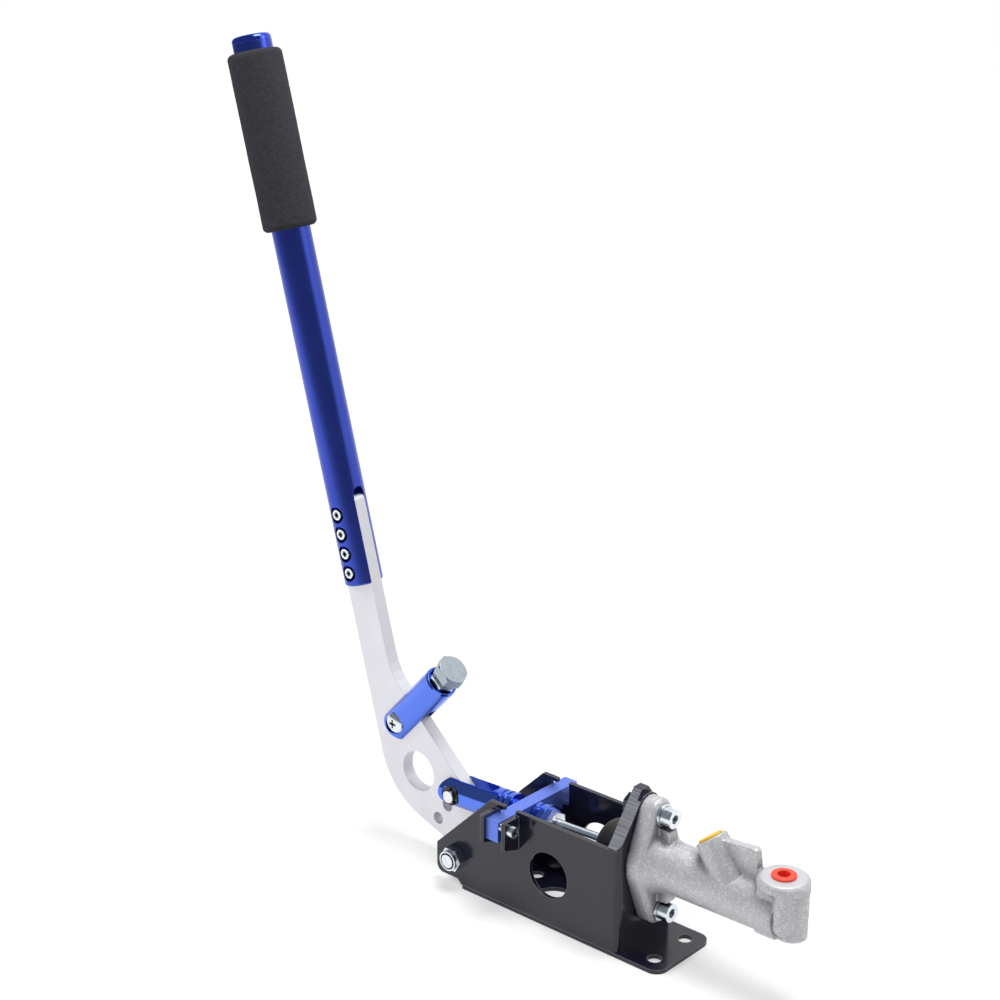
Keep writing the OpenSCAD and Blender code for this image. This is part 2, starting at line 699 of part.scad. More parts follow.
// Open ring in the groove of the clevis pin
module clevis_clip() color(spring_steel) translate([pin.x, -clip_y, pin.y]) rotate([90, 0, 0])
    translate([0, 0, seat_gap]) linear_extrude(clip_t - 2 * seat_gap) difference() {
        circle(d = clip_d);
        circle(d = clip_groove_d + 2 * seat_gap);
        rotate(200) translate([0, -2.6]) square([clip_d, 5.2]);
        for (turn = [80, 320]) rotate(turn) translate([clip_d / 2 - 1.6, 0]) circle(d = 3, $fn = 24);
    }

module clevis_jam_nut() color(zinc) on_rod() translate([0, 0, clevis_len]) difference() {
    hexagon(rod_nut_af, m8_nut_h);
    translate([0, 0, -1]) cylinder(d = rod_d + 2 * seat_gap, h = m8_nut_h + 2);
}

module push_rod() color(zinc) on_rod() {
    translate([0, 0, clevis_thread_from]) cylinder(d = rod_d, h = rod_reach - clevis_thread_from);
    translate([0, 0, rod_reach]) sphere(d = ball_d, $fn = 48);
}

// Master cylinder
module dust_boot() color(rubber_black) difference() {
    turned(boot_profile(boot_d / 2, boot_len, 0));
    turned(boot_profile(boot_d / 2 - boot_wall, boot_len - boot_wall, -1));
    along(cyl_h, spigot_d + 2 * seat_gap, -spigot_len, 1);
    along(cyl_h - boot_mouth_drop, boot_mouth_d, -backing_back - boot_len - 5, -backing_back - boot_len / 2);
}

// Straight skirt and domed end of the boot, of radius r and length l, begun s behind the backing plate
function boot_profile(r, l, s) = concat(
    [[0, -backing_back - s]],
    rounded([[r, -backing_back - s, 0], [r, -backing_back - l, r * 0.62], [0, -backing_back - l, 0]]));

module cyl_flange_outline(inset) hull() {
    translate([0, cyl_h]) circle(d = cyl_flange_w - 2 * inset, $fn = 48);
    for (z = [bolt_low, bolt_high]) translate([0, z]) circle(r = cyl_ear_r - inset, $fn = 32);
}

// Boss that leans back, placed from the middle of its top face
module on_inlet() translate([inlet_top.x, 0, inlet_top.y]) rotate([0, -inlet_lean, 0]) children();

// Flange, barrel and bosses, before the ports are cut
module cylinder_casting() {
    barrel_r = barrel_d / 2;
    edge = 2.4;
    hull() {
        facing(0, cyl_flange_t - edge) cyl_flange_outline(0);
        facing(cyl_flange_t - edge, edge) cyl_flange_outline(edge);
    }
    turned([[0, -spigot_len], [spigot_d / 2, -spigot_len], [spigot_d / 2, 1], [0, 1]]);
    turned([[0, 1], [barrel_r + 4, 1], [barrel_r + 4, cyl_flange_t], [barrel_r + 1, cyl_flange_t + 5],
        [barrel_r, cyl_flange_t + 12], [barrel_r - 0.6, barrel_end - 2], [barrel_r - 1.6, barrel_end],
        [0, barrel_end]]);
    // Parting ridge on top, and a gusset above and below between flange and barrel
    upright(ridge_t) polygon([[cyl_flange_t - 2, cyl_h], [cyl_flange_t - 2, cyl_h + barrel_r + 0.6],
        [inlet_top.x + 10, cyl_h + barrel_r + 0.4], [inlet_top.x + 10, cyl_h]]);
    upright(gusset_t) polygon(rounded([[cyl_flange_t - 2, cyl_h - barrel_r - 10, 0],
        [cyl_flange_t - 2, cyl_h + barrel_r + 10, 0],
        [cyl_flange_t + gusset_reach, cyl_h + barrel_r + 9, 2], [cyl_flange_t + gusset_reach + 1, cyl_h, 0],
        [cyl_flange_t + gusset_reach, cyl_h - barrel_r - 9, 2]]));
    // Inlet boss and the web that ties it to the outlet
    on_inlet() translate([0, 0, -inlet_len])
        cylinder(d1 = inlet_d + inlet_flare, d2 = inlet_d, h = inlet_len);
    upright(web_t) polygon(rounded([[inlet_top.x + 8, cyl_h, 0], [inlet_top.x + 8, inlet_top.y + 3, 2],
        [outlet_x - 19.5, inlet_top.y + 5.6, 2.5], [outlet_x - 14, cyl_h, 0]]));
    // Narrower nose below the outlet, rounded at its end and along its lower edge
    hull() {
        translate([0, 0, nose_low + nose_edge])
            linear_extrude(outlet_top - outlet_head_t / 2 - nose_low - nose_edge) nose_plan(0);
        translate([0, 0, nose_low]) linear_extrude(nose_edge) nose_plan(nose_edge);
    }
}

module nose_plan(inset) hull() {
    translate([nose_x, 0]) circle(r = nose_r - inset);
    translate([outlet_x - nose_r, inset - nose_r]) square([nose_r, 2 * (nose_r - inset)]);
}

module outlet_head() translate([outlet_x, 0, outlet_top - outlet_head_t]) rotate_extrude() polygon([[0, 0],
    [outlet_d / 2 - 1.2, 0], [outlet_d / 2, 1.4], [outlet_d / 2, outlet_head_t - 2.2],
    [outlet_d / 2 - 2.2, outlet_head_t], [0, outlet_head_t]]);

// Upright columns with a rounded lower end
module outlet_columns() both_sides() translate([column_at.x, column_at.y, 0]) rotate_extrude()
    polygon(rounded([
        [0, column_end - column_d / 2, 0], [column_d / 2, column_end - column_d / 2, column_d * 0.44],
        [column_d / 2, outlet_top - outlet_head_t / 2, 0], [0, outlet_top - outlet_head_t / 2, 0]]));

module cylinder_body() color(cast_alloy) difference() {
    union() {
        cylinder_casting();
        outlet_columns();
        outlet_head();
    }
    along(cyl_h, bore_d, -spigot_len - 1, bore_end);
    along(cyl_h, ring_groove_d, ring_from, ring_from + ring_t);
    for (z = [bolt_low, bolt_high]) {
        along(z, cyl_bolt_hole_d, -1, cyl_flange_t + 1);
        along(z, washer_d + 1, cyl_flange_t, cyl_flange_t + washer_t + cyl_head_h + gusset_reach);
    }
    on_inlet() translate([0, 0, -outlet_port_deep]) cylinder(d = inlet_port_d, h = inlet_len);
    on_inlet() translate([0, 0, -inlet_len]) cylinder(d = inlet_hole_d, h = inlet_len);
    translate([outlet_x, 0, outlet_top - outlet_port_deep]) cylinder(d = outlet_port_d, h = outlet_rise);
    translate([bore_end - 2, 0, cyl_h]) cylinder(d = outlet_hole_d, h = outlet_rise - outlet_port_deep + 1);
}

module cylinder_bolts() color(zinc) for (z = [bolt_low, bolt_high]) difference() {
    head_x = cyl_flange_t + washer_t;
    union() {
        along(z, cyl_bolt_d, -backing_back - m8_nut_h - 2, head_x + 1);
        along(z, cyl_head_d, head_x, head_x + cyl_head_h);
    }
    translate([head_x + cyl_head_h - 4, 0, z]) rotate([0, 90, 0]) hexagon(6, 5);
}

module cylinder_washers() color(zinc) for (z = [bolt_low, bolt_high]) difference() {
    along(z, washer_d, cyl_flange_t, cyl_flange_t + washer_t);
    along(z, cyl_bolt_hole_d, 0, cyl_flange_t + 5);
}

module cylinder_nuts() color(zinc) for (z = [bolt_low, bolt_high]) difference() {
    translate([-backing_back - m8_nut_h, 0, z]) rotate([0, 90, 0]) hexagon(m8_af, m8_nut_h);
    along(z, cyl_bolt_d + 2 * seat_gap, -backing_back - 20, 0);
}

// Spool with a cup for the ball, a groove for the rear seal and a nose for the front one
module piston() color(zinc) difference() {
    turned([[0, piston_back], [piston_d / 2, piston_back], [piston_d / 2, rear_head_to],
        [seal_core_d / 2, rear_head_to], [seal_core_d / 2, secondary_to], [piston_d / 2, secondary_to],
        [piston_d / 2, rear_land_to], [neck_d / 2, rear_land_to], [neck_d / 2, front_head_from],
        [piston_d / 2, front_head_from], [piston_d / 2, front_head_to], [neck_d / 2, front_head_to],
        [neck_d / 2, primary_to], [nose_d / 2, primary_to], [nose_d / 2, nose_to], [0, nose_to]]);
    along(cyl_h, cup_d, piston_back - 1, seat_x);
    translate([seat_x, 0, cyl_h]) sphere(d = cup_d, $fn = 48);
}

module seal_ring(core_d, from, to) turned([[core_d / 2 + seat_gap, from + seat_gap],
    [piston_d / 2, from + seat_gap], [piston_d / 2, to - seat_gap], [core_d / 2 + seat_gap, to - seat_gap]]);

module primary_seal() color(rubber_black) seal_ring(neck_d, front_head_to, primary_to);

module secondary_seal() color(rubber_black) seal_ring(seal_core_d, rear_head_to, secondary_to);

// Coil between the front seal and the end of the bore, swept as one closed tube
module return_spring() color(spring_steel) {
    sides = 8;
    count = spring_turns * spring_steps;
    rise = bore_end - primary_to - spring_wire - 2 * seat_gap;
    start = primary_to + seat_gap + spring_wire / 2;
    ring_point = function (i, k) let (
        turn = 360 * i / spring_steps,
        r = spring_mean_d / 2 + spring_wire / 2 * cos(360 * k / sides))
        [start + rise * i / count + spring_wire / 2 * sin(360 * k / sides),
            r * cos(turn), cyl_h + r * sin(turn)];
    polyhedron(
        points = [for (i = [0:count], k = [0:sides - 1]) ring_point(i, k)],
        faces = concat(
            [[for (k = [0:sides - 1]) k]],
            [for (i = [0:count - 1], k = [0:sides - 1]) [i * sides + k, (i + 1) * sides + k,
                (i + 1) * sides + (k + 1) % sides, i * sides + (k + 1) % sides]],
            [[for (k = [sides - 1:-1:0]) count * sides + k]]));
}

module stop_washer() color(zinc) difference() {
    along(cyl_h, piston_d, stop_washer_from, stop_washer_from + stop_washer_t);
    along(cyl_h, stop_washer_bore, stop_washer_from - 1, stop_washer_from + stop_washer_t + 1);
}

// Open ring in the groove at the mouth of the bore
module retaining_ring() color(spring_steel) difference() {
    along(cyl_h, ring_groove_d - 2 * seat_gap, ring_from + seat_gap, ring_from + ring_t - seat_gap);
    along(cyl_h, ring_groove_d - 2 * ring_w, ring_from - 1, ring_from + ring_t + 1);
    translate([ring_from - 1, -2.5, cyl_h - ring_groove_d]) cube([ring_t + 2, 5, ring_groove_d]);
}

module outlet_plug() color("#f04a2e") translate([outlet_x, 0, outlet_top]) difference() {
    union() {
        translate([0, 0, -9]) cylinder(d = outlet_port_d - 2 * seat_gap, h = 10);
        rotate_extrude() polygon(concat([[0, 0]], rounded([[8.3, 0, 0], [8.3, 1.6, 0.8], [0, 1.6, 0]])));
    }
    translate([0, 0, -6]) cylinder(d = 8.6, h = 10);
}

module inlet_cap() color("#f5b915") on_inlet() {
    cylinder(d = inlet_cap_d, h = 1.6);
    translate([0, 0, -7]) cylinder(d = inlet_port_d - 2 * seat_gap, h = 8);
}

base_plate();
side_frame();
backing_plate();
stop_bar();
stop_bar_screws();
pivot_bolt();
pivot_nut();
pivot_sleeve();
pivot_spacers();
pivot_bush();
lever_plate();
handle_tube();
end_cap();
foam_grip();
handle_screws();
stop_fork();
stop_fork_screw();
stop_fork_nut();
stop_bolt();
stop_jam_nut();
clevis();
clevis_pin();
clevis_clip();
clevis_jam_nut();
push_rod();
dust_boot();
cylinder_body();
cylinder_bolts();
cylinder_washers();
cylinder_nuts();
piston();
primary_seal();
secondary_seal();
return_spring();
stop_washer();
retaining_ring();
outlet_plug();
inlet_cap();
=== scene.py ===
import json
import math
import bmesh
import bpy
from mathutils import Matrix, Vector, noise


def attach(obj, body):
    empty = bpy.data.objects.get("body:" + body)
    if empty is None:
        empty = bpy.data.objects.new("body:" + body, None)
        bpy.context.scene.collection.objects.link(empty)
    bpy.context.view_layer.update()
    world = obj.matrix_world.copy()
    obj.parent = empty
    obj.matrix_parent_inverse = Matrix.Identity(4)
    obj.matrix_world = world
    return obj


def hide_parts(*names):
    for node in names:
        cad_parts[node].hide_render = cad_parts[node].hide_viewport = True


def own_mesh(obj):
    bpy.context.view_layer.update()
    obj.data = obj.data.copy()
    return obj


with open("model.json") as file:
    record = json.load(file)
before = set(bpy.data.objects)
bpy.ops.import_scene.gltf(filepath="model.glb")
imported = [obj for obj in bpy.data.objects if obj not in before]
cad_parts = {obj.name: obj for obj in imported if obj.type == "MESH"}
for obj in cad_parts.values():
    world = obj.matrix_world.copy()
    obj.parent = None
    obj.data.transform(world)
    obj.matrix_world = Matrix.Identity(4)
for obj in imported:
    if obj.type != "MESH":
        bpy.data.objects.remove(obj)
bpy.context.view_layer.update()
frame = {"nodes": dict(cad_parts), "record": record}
cadNodes = frame["nodes"]
scene = bpy.context.scene
print("loaded", len(cadNodes), "parts of the hand brake")

mm = 0.001


def linear(hexColour):
    parts = [int(hexColour[i:i + 2], 16) / 255 for i in (1, 3, 5)]
    return [c / 12.92 if c <= 0.04045 else ((c + 0.055) / 1.055) ** 2.4 for c in parts] + [1.0]


# adds one node: keyword settings go on the node, values and links go to its inputs
def addNode(tree, kind, inputs=None, **settings):
    node = tree.nodes.new(kind)
    for name, value in settings.items():
        setattr(node, name, value)
    for socket, value in (inputs or {}).items():
        if isinstance(value, bpy.types.NodeSocket):
            tree.links.new(value, node.inputs[socket])
        else:
            node.inputs[socket].default_value = value
    return node


# camera: solved from the bracket's edges, distances in millimetres
cameraView = {"azimuth": 41.311, "elevation": 18.924, "roll": 0.26, "focalPixels": 2057.744,
              "distance": 1395.694, "right": -97.889, "up": 299.222, "imagePixels": 1000, "sensor": 36.0,
              "clip": (0.05, 50.0)}


def makeCamera(view):
    a, e, r = (math.radians(view[k]) for k in ("azimuth", "elevation", "roll"))
    back = Vector((math.sin(a) * math.cos(e), -math.cos(a) * math.cos(e), math.sin(e)))
    flatRight = Vector((math.cos(a), math.sin(a), 0))
    flatUp = back.cross(flatRight)
    right = math.cos(r) * flatRight + math.sin(r) * flatUp
    up = math.cos(r) * flatUp - math.sin(r) * flatRight
    data = bpy.data.cameras.new("photoCamera")
    data.sensor_width = view["sensor"]
    data.lens = view["focalPixels"] * view["sensor"] / view["imagePixels"]
    data.clip_start, data.clip_end = view["clip"]
    camera = bpy.data.objects.new("photoCamera", data)
    scene.collection.objects.link(camera)
    turn = Matrix((right, up, back)).transposed().to_4x4()
    place = (right * view["right"] + up * view["up"] + back * view["distance"]) * mm
    camera.matrix_world = Matrix.Translation(place) @ turn
    scene.camera = camera


makeCamera(cameraView)
scene.view_settings.view_transform = "Standard"
print("camera set")

# studio: white sweep, a softbox to the upper left, one overhead and one behind, and a dark canopy that only
# reflections see, as the room behind the camera is dark
studio = {"worldStrength": 0.44, "floorSize": 6.0, "floorColour": "#d2d2d2", "floorGlow": 0.36, "floorFarGlow": 0.76,
          "floorNear": 0.5, "floorFar": 1.7, "floorRoughness": 0.9, "floorSpecular": 0.1, "aim": (-0.1, 0.0, 0.2),
          "keyPlace": (-0.95, -0.78, 0.98), "keySize": 0.6, "keyPower": 8.0,
          "topPlace": (0.12, 0.1, 1.5), "topSize": 0.7, "topPower": 14.0,
          "rimPlace": (1.5, 1.2, 1.5), "rimSize": 0.9, "rimPower": 4.0,
          "canopyCentre": (-0.1, 0.0, 0.0), "canopyRadius": 1.75, "canopyLow": 2.0, "canopyHigh": 80.0,
          "canopyLeft": -150.0, "canopyRight": 62.0, "canopyColour": "#0c0c10", "canopyGlow": 0.24,
          "canopyTint": (0.8, 0.9, 1.0, 1.0), "canopySteps": 24}


# 1 for rays that show the background itself: straight to the camera, mirrored, or through something clear
def backgroundShare(tree):
    rays = addNode(tree, "ShaderNodeLightPath").outputs
    seen = addNode(tree, "ShaderNodeMath", {0: rays["Is Camera Ray"], 1: rays["Is Glossy Ray"]}, operation="MAXIMUM")
    return addNode(tree, "ShaderNodeMath", {0: seen.outputs[0], 1: rays["Is Transmission Ray"]}, operation="MAXIMUM")


def makeStudio(s):
    world = bpy.data.worlds.new("whiteTent")
    scene.world = world
    world.use_nodes = True
    tree = world.node_tree
    tree.nodes.clear()
    seen = backgroundShare(tree)
    strength = addNode(tree, "ShaderNodeMapRange", {"Value": seen.outputs[0], "To Min": s["worldStrength"],
                                                   "To Max": 1.0})
    sky = addNode(tree, "ShaderNodeBackground", {"Color": (1, 1, 1, 1), "Strength": strength.outputs[0]})
    addNode(tree, "ShaderNodeOutputWorld", {"Surface": sky.outputs[0]})

    def panel(name, corners, material, faces=((0, 1, 2, 3),)):
        mesh = bpy.data.meshes.new(name)
        mesh.from_pydata(corners, [], faces)
        obj = bpy.data.objects.new(name, mesh)
        mesh.materials.append(material)
        scene.collection.objects.link(obj)
        return obj

    paper = bpy.data.materials.new("whitePaperSweep")
    paper.use_nodes = True
    tree = paper.node_tree
    shader = tree.nodes["Principled BSDF"]
    shader.inputs["Base Color"].default_value = linear(s["floorColour"])
    shader.inputs["Roughness"].default_value = s["floorRoughness"]
    shader.inputs["Specular IOR Level"].default_value = s["floorSpecular"]
    shader.inputs["Emission Color"].default_value = (1, 1, 1, 1)
    seen = backgroundShare(tree)
    # lamps only reach the middle of the paper, so its own glow takes over further out
    spot = addNode(tree, "ShaderNodeTexCoord").outputs["Object"]
    away = addNode(tree, "ShaderNodeVectorMath", {0: spot}, operation="LENGTH")
    glow = addNode(tree, "ShaderNodeMapRange", {"Value": away.outputs["Value"], "From Min": s["floorNear"],
                                               "From Max": s["floorFar"], "To Min": s["floorGlow"],
                                               "To Max": s["floorFarGlow"]})
    glow = addNode(tree, "ShaderNodeMath", {0: seen.outputs[0], 1: glow.outputs[0]}, operation="MULTIPLY")
    tree.links.new(glow.outputs[0], shader.inputs["Emission Strength"])
    half = s["floorSize"] / 2
    panel("floor", [(-half, -half, 0), (half, -half, 0), (half, half, 0), (-half, half, 0)], paper)

    felt = bpy.data.materials.new("darkFelt")
    felt.use_nodes = True
    shader = felt.node_tree.nodes["Principled BSDF"]
    shader.inputs["Base Color"].default_value = linear(s["canopyColour"])
    shader.inputs["Roughness"].default_value = 1.0
    shader.inputs["Emission Color"].default_value = s["canopyTint"]
    shader.inputs["Emission Strength"].default_value = s["canopyGlow"]
    steps = s["canopySteps"]
    spots = []
    for i in range(steps + 1):
        for k in range(steps + 1):
            up = math.radians(s["canopyLow"] + (s["canopyHigh"] - s["canopyLow"]) * i / steps)
            turn = s["canopyLeft"] + (s["canopyRight"] - s["canopyLeft"]) * k / steps
            turn = math.radians(cameraView["azimuth"] + turn)
            way = Vector((math.sin(turn) * math.cos(up), -math.cos(turn) * math.cos(up), math.sin(up)))
            spots.append(Vector(s["canopyCentre"]) + way * s["canopyRadius"])
    row = steps + 1
    faces = [(i * row + k, i * row + k + 1, i * row + row + k + 1, i * row + row + k)
             for i in range(steps) for k in range(steps)]
    canopy = panel("darkCanopy", spots, felt, faces)
    canopy.visible_camera = False
    canopy.visible_diffuse = False
    canopy.visible_shadow = False

    for name in ("key", "top", "rim"):
        place = s[name + "Place"]
        data = bpy.data.lights.new(name, "AREA")
        data.shape, data.size, data.energy = "DISK", s[name + "Size"], s[name + "Power"]
        lamp = bpy.data.objects.new(name, data)
        scene.collection.objects.link(lamp)
        lamp.location = place
        lamp.visible_camera = False
        lamp.visible_glossy = name != "key"
        lamp.rotation_euler = (Vector(s["aim"]) - Vector(place)).to_track_quat("-Z", "Y").to_euler()


makeStudio(studio)
print("studio set")


def newMaterial(name):
    material = bpy.data.materials.new(name)
    material.use_nodes = True
    tree = material.node_tree
    shader = tree.nodes["Principled BSDF"]
    place = addNode(tree, "ShaderNodeTexCoord").outputs["Object"]
    return material, tree, shader, place


# links node outputs to the shader's sockets
def wireShader(tree, shader, sockets):
    for socket, output in sockets.items():
        tree.links.new(output, shader.inputs[socket])


# how far a point lies on a rounded edge, 0 on flats and 1 on the corner, from the bevelled normal; it places the
# painted edge highlights
edgeGlintRange = {"flat": 0.99, "corner": 0.8}


def edgeShare(tree, bevel):
    flat = addNode(tree, "ShaderNodeNewGeometry").outputs["True Normal"]
    same = addNode(tree, "ShaderNodeVectorMath", {0: flat, 1: bevel.outputs[0]}, operation="DOT_PRODUCT")
    return addNode(tree, "ShaderNodeMapRange", {"Value": same.outputs["Value"], "From Min": edgeGlintRange["flat"],
                                                "From Max": edgeGlintRange["corner"]})


# powder coat: a thick satin gloss skin with faint orange peel, thin and scored where the sheet's slopes were cut, those
# cut slopes partly painted lighter as lit from the upper left; cut marks run through the sheet's thickness, drawn 0.9
# mm apart so that they show; painted highlights run along the edges
blackCoatLook = {"dark": "#131322", "bright": "#1b1b2d", "cloud": 14.0, "gloss": (0.13, 0.22), "ior": 1.52,
                 "slope": (0.0, 0.796, 0.605), "slopeMatch": 0.985, "markSpacing": 0.9, "markRun": 50.0,
                 "cutDark": "#26262e", "cutBrightAndLit": "#a2a3ab", "cutRougher": 0.3, "peel": 1.6, "peelStrength": 0.04,
                 "peelDepth": 0.2, "edge": 0.8, "edgeGlintColour": "#8e8f9a"}


def makeBlackPowderCoat(look):
    material, tree, shader, place = newMaterial("blackPowderCoat")
    cloud = addNode(tree, "ShaderNodeTexNoise", {"Vector": place, "Scale": 1000 / look["cloud"], "Detail": 3})
    colour = addNode(tree, "ShaderNodeMixRGB", {"Fac": cloud.outputs["Fac"], "Color1": linear(look["dark"]),
                                               "Color2": linear(look["bright"])})
    gloss = addNode(tree, "ShaderNodeMapRange", {"Value": cloud.outputs["Fac"], "To Min": look["gloss"][0],
                                                "To Max": look["gloss"][1]})
    across = 1000 / look["markSpacing"]
    marks = addNode(tree, "ShaderNodeMapping", {"Vector": place, "Scale": (1000 / look["markRun"], across, across)})
    marks = addNode(tree, "ShaderNodeTexNoise", {"Vector": marks.outputs[0], "Scale": 1.0, "Detail": 2})
    # the scoring is real, but its bright end is also painted light: the cut slopes shown lit from the upper left
    scoredAndLit = addNode(tree, "ShaderNodeMixRGB", {"Fac": marks.outputs["Fac"], "Color1": linear(look["cutDark"]),
                                               "Color2": linear(look["cutBrightAndLit"])})
    facing = addNode(tree, "ShaderNodeTexCoord").outputs["Normal"]
    facing = addNode(tree, "ShaderNodeVectorMath", {0: facing}, operation="ABSOLUTE")
    facing = addNode(tree, "ShaderNodeVectorMath", {0: facing.outputs[0], 1: look["slope"]}, operation="DOT_PRODUCT")
    cut = addNode(tree, "ShaderNodeMath", {0: facing.outputs["Value"], 1: look["slopeMatch"]}, operation="GREATER_THAN")
    colour = addNode(tree, "ShaderNodeMixRGB", {"Fac": cut.outputs[0], "Color1": colour.outputs[0],
                                               "Color2": scoredAndLit.outputs[0]})
    gloss = addNode(tree, "ShaderNodeMath", {0: cut.outputs[0], 1: look["cutRougher"], 2: gloss.outputs[0]},
                    operation="MULTIPLY_ADD")
    peel = addNode(tree, "ShaderNodeTexNoise", {"Vector": place, "Scale": 1000 / look["peel"], "Detail": 2})
    # painted highlight along the edges, standing in for the light caught by their rounding
    edge = addNode(tree, "ShaderNodeBevel", {"Radius": look["edge"] * mm}, samples=6)
    colour = addNode(tree, "ShaderNodeMixRGB", {"Fac": edgeShare(tree, edge).outputs[0], "Color1": colour.outputs[0],
                                               "Color2": linear(look["edgeGlintColour"])})
    bump = addNode(tree, "ShaderNodeBump", {"Height": peel.outputs["Fac"], "Strength": look["peelStrength"],
                                            "Distance": look["peelDepth"] * mm, "Normal": edge.outputs[0]})
    shader.inputs["IOR"].default_value = look["ior"]
    wireShader(tree, shader, {"Base Color": colour.outputs[0], "Roughness": gloss.outputs[0],
                              "Normal": bump.outputs[0]})
    return material


# bright anodised aluminium, turned: clear blue skin with fine rings round the axis, drawn 0.9 mm apart so that they
# show; one row for each turned piece, with the tilt of its axis in degrees; the rows share one blue, set to how bright
# each piece shows, so the tube's darker blue is painted shade and the lighter blue of the fork, clevis and cap is
# painted light
turnedSkin = {"ringSpacing": 0.9, "ringRun": 125.0, "cloud": 22.0, "edge": 0.5, "ringHeight": 0.1}
turnedLooks = {
    "turnedBlueAnodised": {"tilt": 15.1, "dark": "#3a49aa", "bright": "#4456bc", "gloss": (0.2, 0.32), "rings": 0.04},
    "forkBlueAnodised": {"tilt": -42.5, "dark": "#5776de", "bright": "#6080e6", "gloss": (0.1, 0.17), "rings": 0.012},
    "clevisBlueAnodised": {"tilt": -87.24, "dark": "#5776de", "bright": "#6080e6", "gloss": (0.1, 0.17),
                           "rings": 0.012},
    "capBlueAnodised": {"tilt": 15.1, "dark": "#3a4cc6", "bright": "#485ed8", "gloss": (0.08, 0.14), "rings": 0.01}}


def makeTurnedBlue(name, skin):
    look = turnedLooks[name]
    material, tree, shader, place = newMaterial(name)
    around = 1000 / skin["ringRun"]
    turned = addNode(tree, "ShaderNodeMapping", {"Vector": place, "Rotation": (0, math.radians(look["tilt"]), 0),
                                                "Scale": (around, around, 1000 / skin["ringSpacing"])})
    rings = addNode(tree, "ShaderNodeTexNoise", {"Vector": turned.outputs[0], "Scale": 1.0, "Detail": 3})
    cloud = addNode(tree, "ShaderNodeTexNoise", {"Vector": place, "Scale": 1000 / skin["cloud"], "Detail": 2})
    colour = addNode(tree, "ShaderNodeMixRGB", {"Fac": cloud.outputs["Fac"], "Color1": linear(look["dark"]),
                                               "Color2": linear(look["bright"])})
    gloss = addNode(tree, "ShaderNodeMapRange", {"Value": rings.outputs["Fac"], "To Min": look["gloss"][0],
                                                "To Max": look["gloss"][1]})
    edge = addNode(tree, "ShaderNodeBevel", {"Radius": skin["edge"] * mm}, samples=4)
    bump = addNode(tree, "ShaderNodeBump", {"Height": rings.outputs["Fac"], "Strength": look["rings"],
                                            "Distance": skin["ringHeight"] * mm, "Normal": edge.outputs[0]})
    shader.inputs["Metallic"].default_value = 1.0
    wireShader(tree, shader, {"Base Color": colour.outputs[0], "Roughness": gloss.outputs[0],
                              "Normal": bump.outputs[0]})
    return material


# matte anodised bar: etched before dyeing, so it scatters and shows almost no reflection
matteBlueLook = {"dark": "#667fe1", "bright": "#7a94f0", "grain": 0.7, "grainStrength": 0.08, "grainDepth": 0.1,
                 "edge": 0.5, "metallic": 0.75, "roughness": 0.48}


def makeMatteBlue(look):
    material, tree, shader, place = newMaterial("matteBlueAnodised")
    grain = addNode(tree, "ShaderNodeTexNoise", {"Vector": place, "Scale": 1000 / look["grain"], "Detail": 3})
    colour = addNode(tree, "ShaderNodeMixRGB", {"Fac": grain.outputs["Fac"], "Color1": linear(look["dark"]),
                                               "Color2": linear(look["bright"])})
    edge = addNode(tree, "ShaderNodeBevel", {"Radius": look["edge"] * mm}, samples=4)
    bump = addNode(tree, "ShaderNodeBump", {"Height": grain.outputs["Fac"], "Strength": look["grainStrength"],
                                            "Distance": look["grainDepth"] * mm, "Normal": edge.outputs[0]})
    shader.inputs["Metallic"].default_value = look["metallic"]
    shader.inputs["Roughness"].default_value = look["roughness"]
    wireShader(tree, shader, {"Base Color": colour.outputs[0], "Normal": bump.outputs[0]})
    return material


# bead-blasted aluminium plate: even pale grey with a very fine grain, drawn at 0.8 mm so that it shows; its sawn edge
# is greyer than its faces, and its corners carry a painted highlight
blastedLook = {"dark": "#e2e2e8", "bright": "#f0eff4", "cloud": 30.0, "grain": 0.8, "gloss": (0.42, 0.58),
               "sawnBelow": 0.6, "sawn": "#d3d3d9", "edge": 0.8, "rubbedAndGlint": "#fbfbfd", "grainStrength": 0.1,
               "grainDepth": 0.1, "metallic": 0.7}


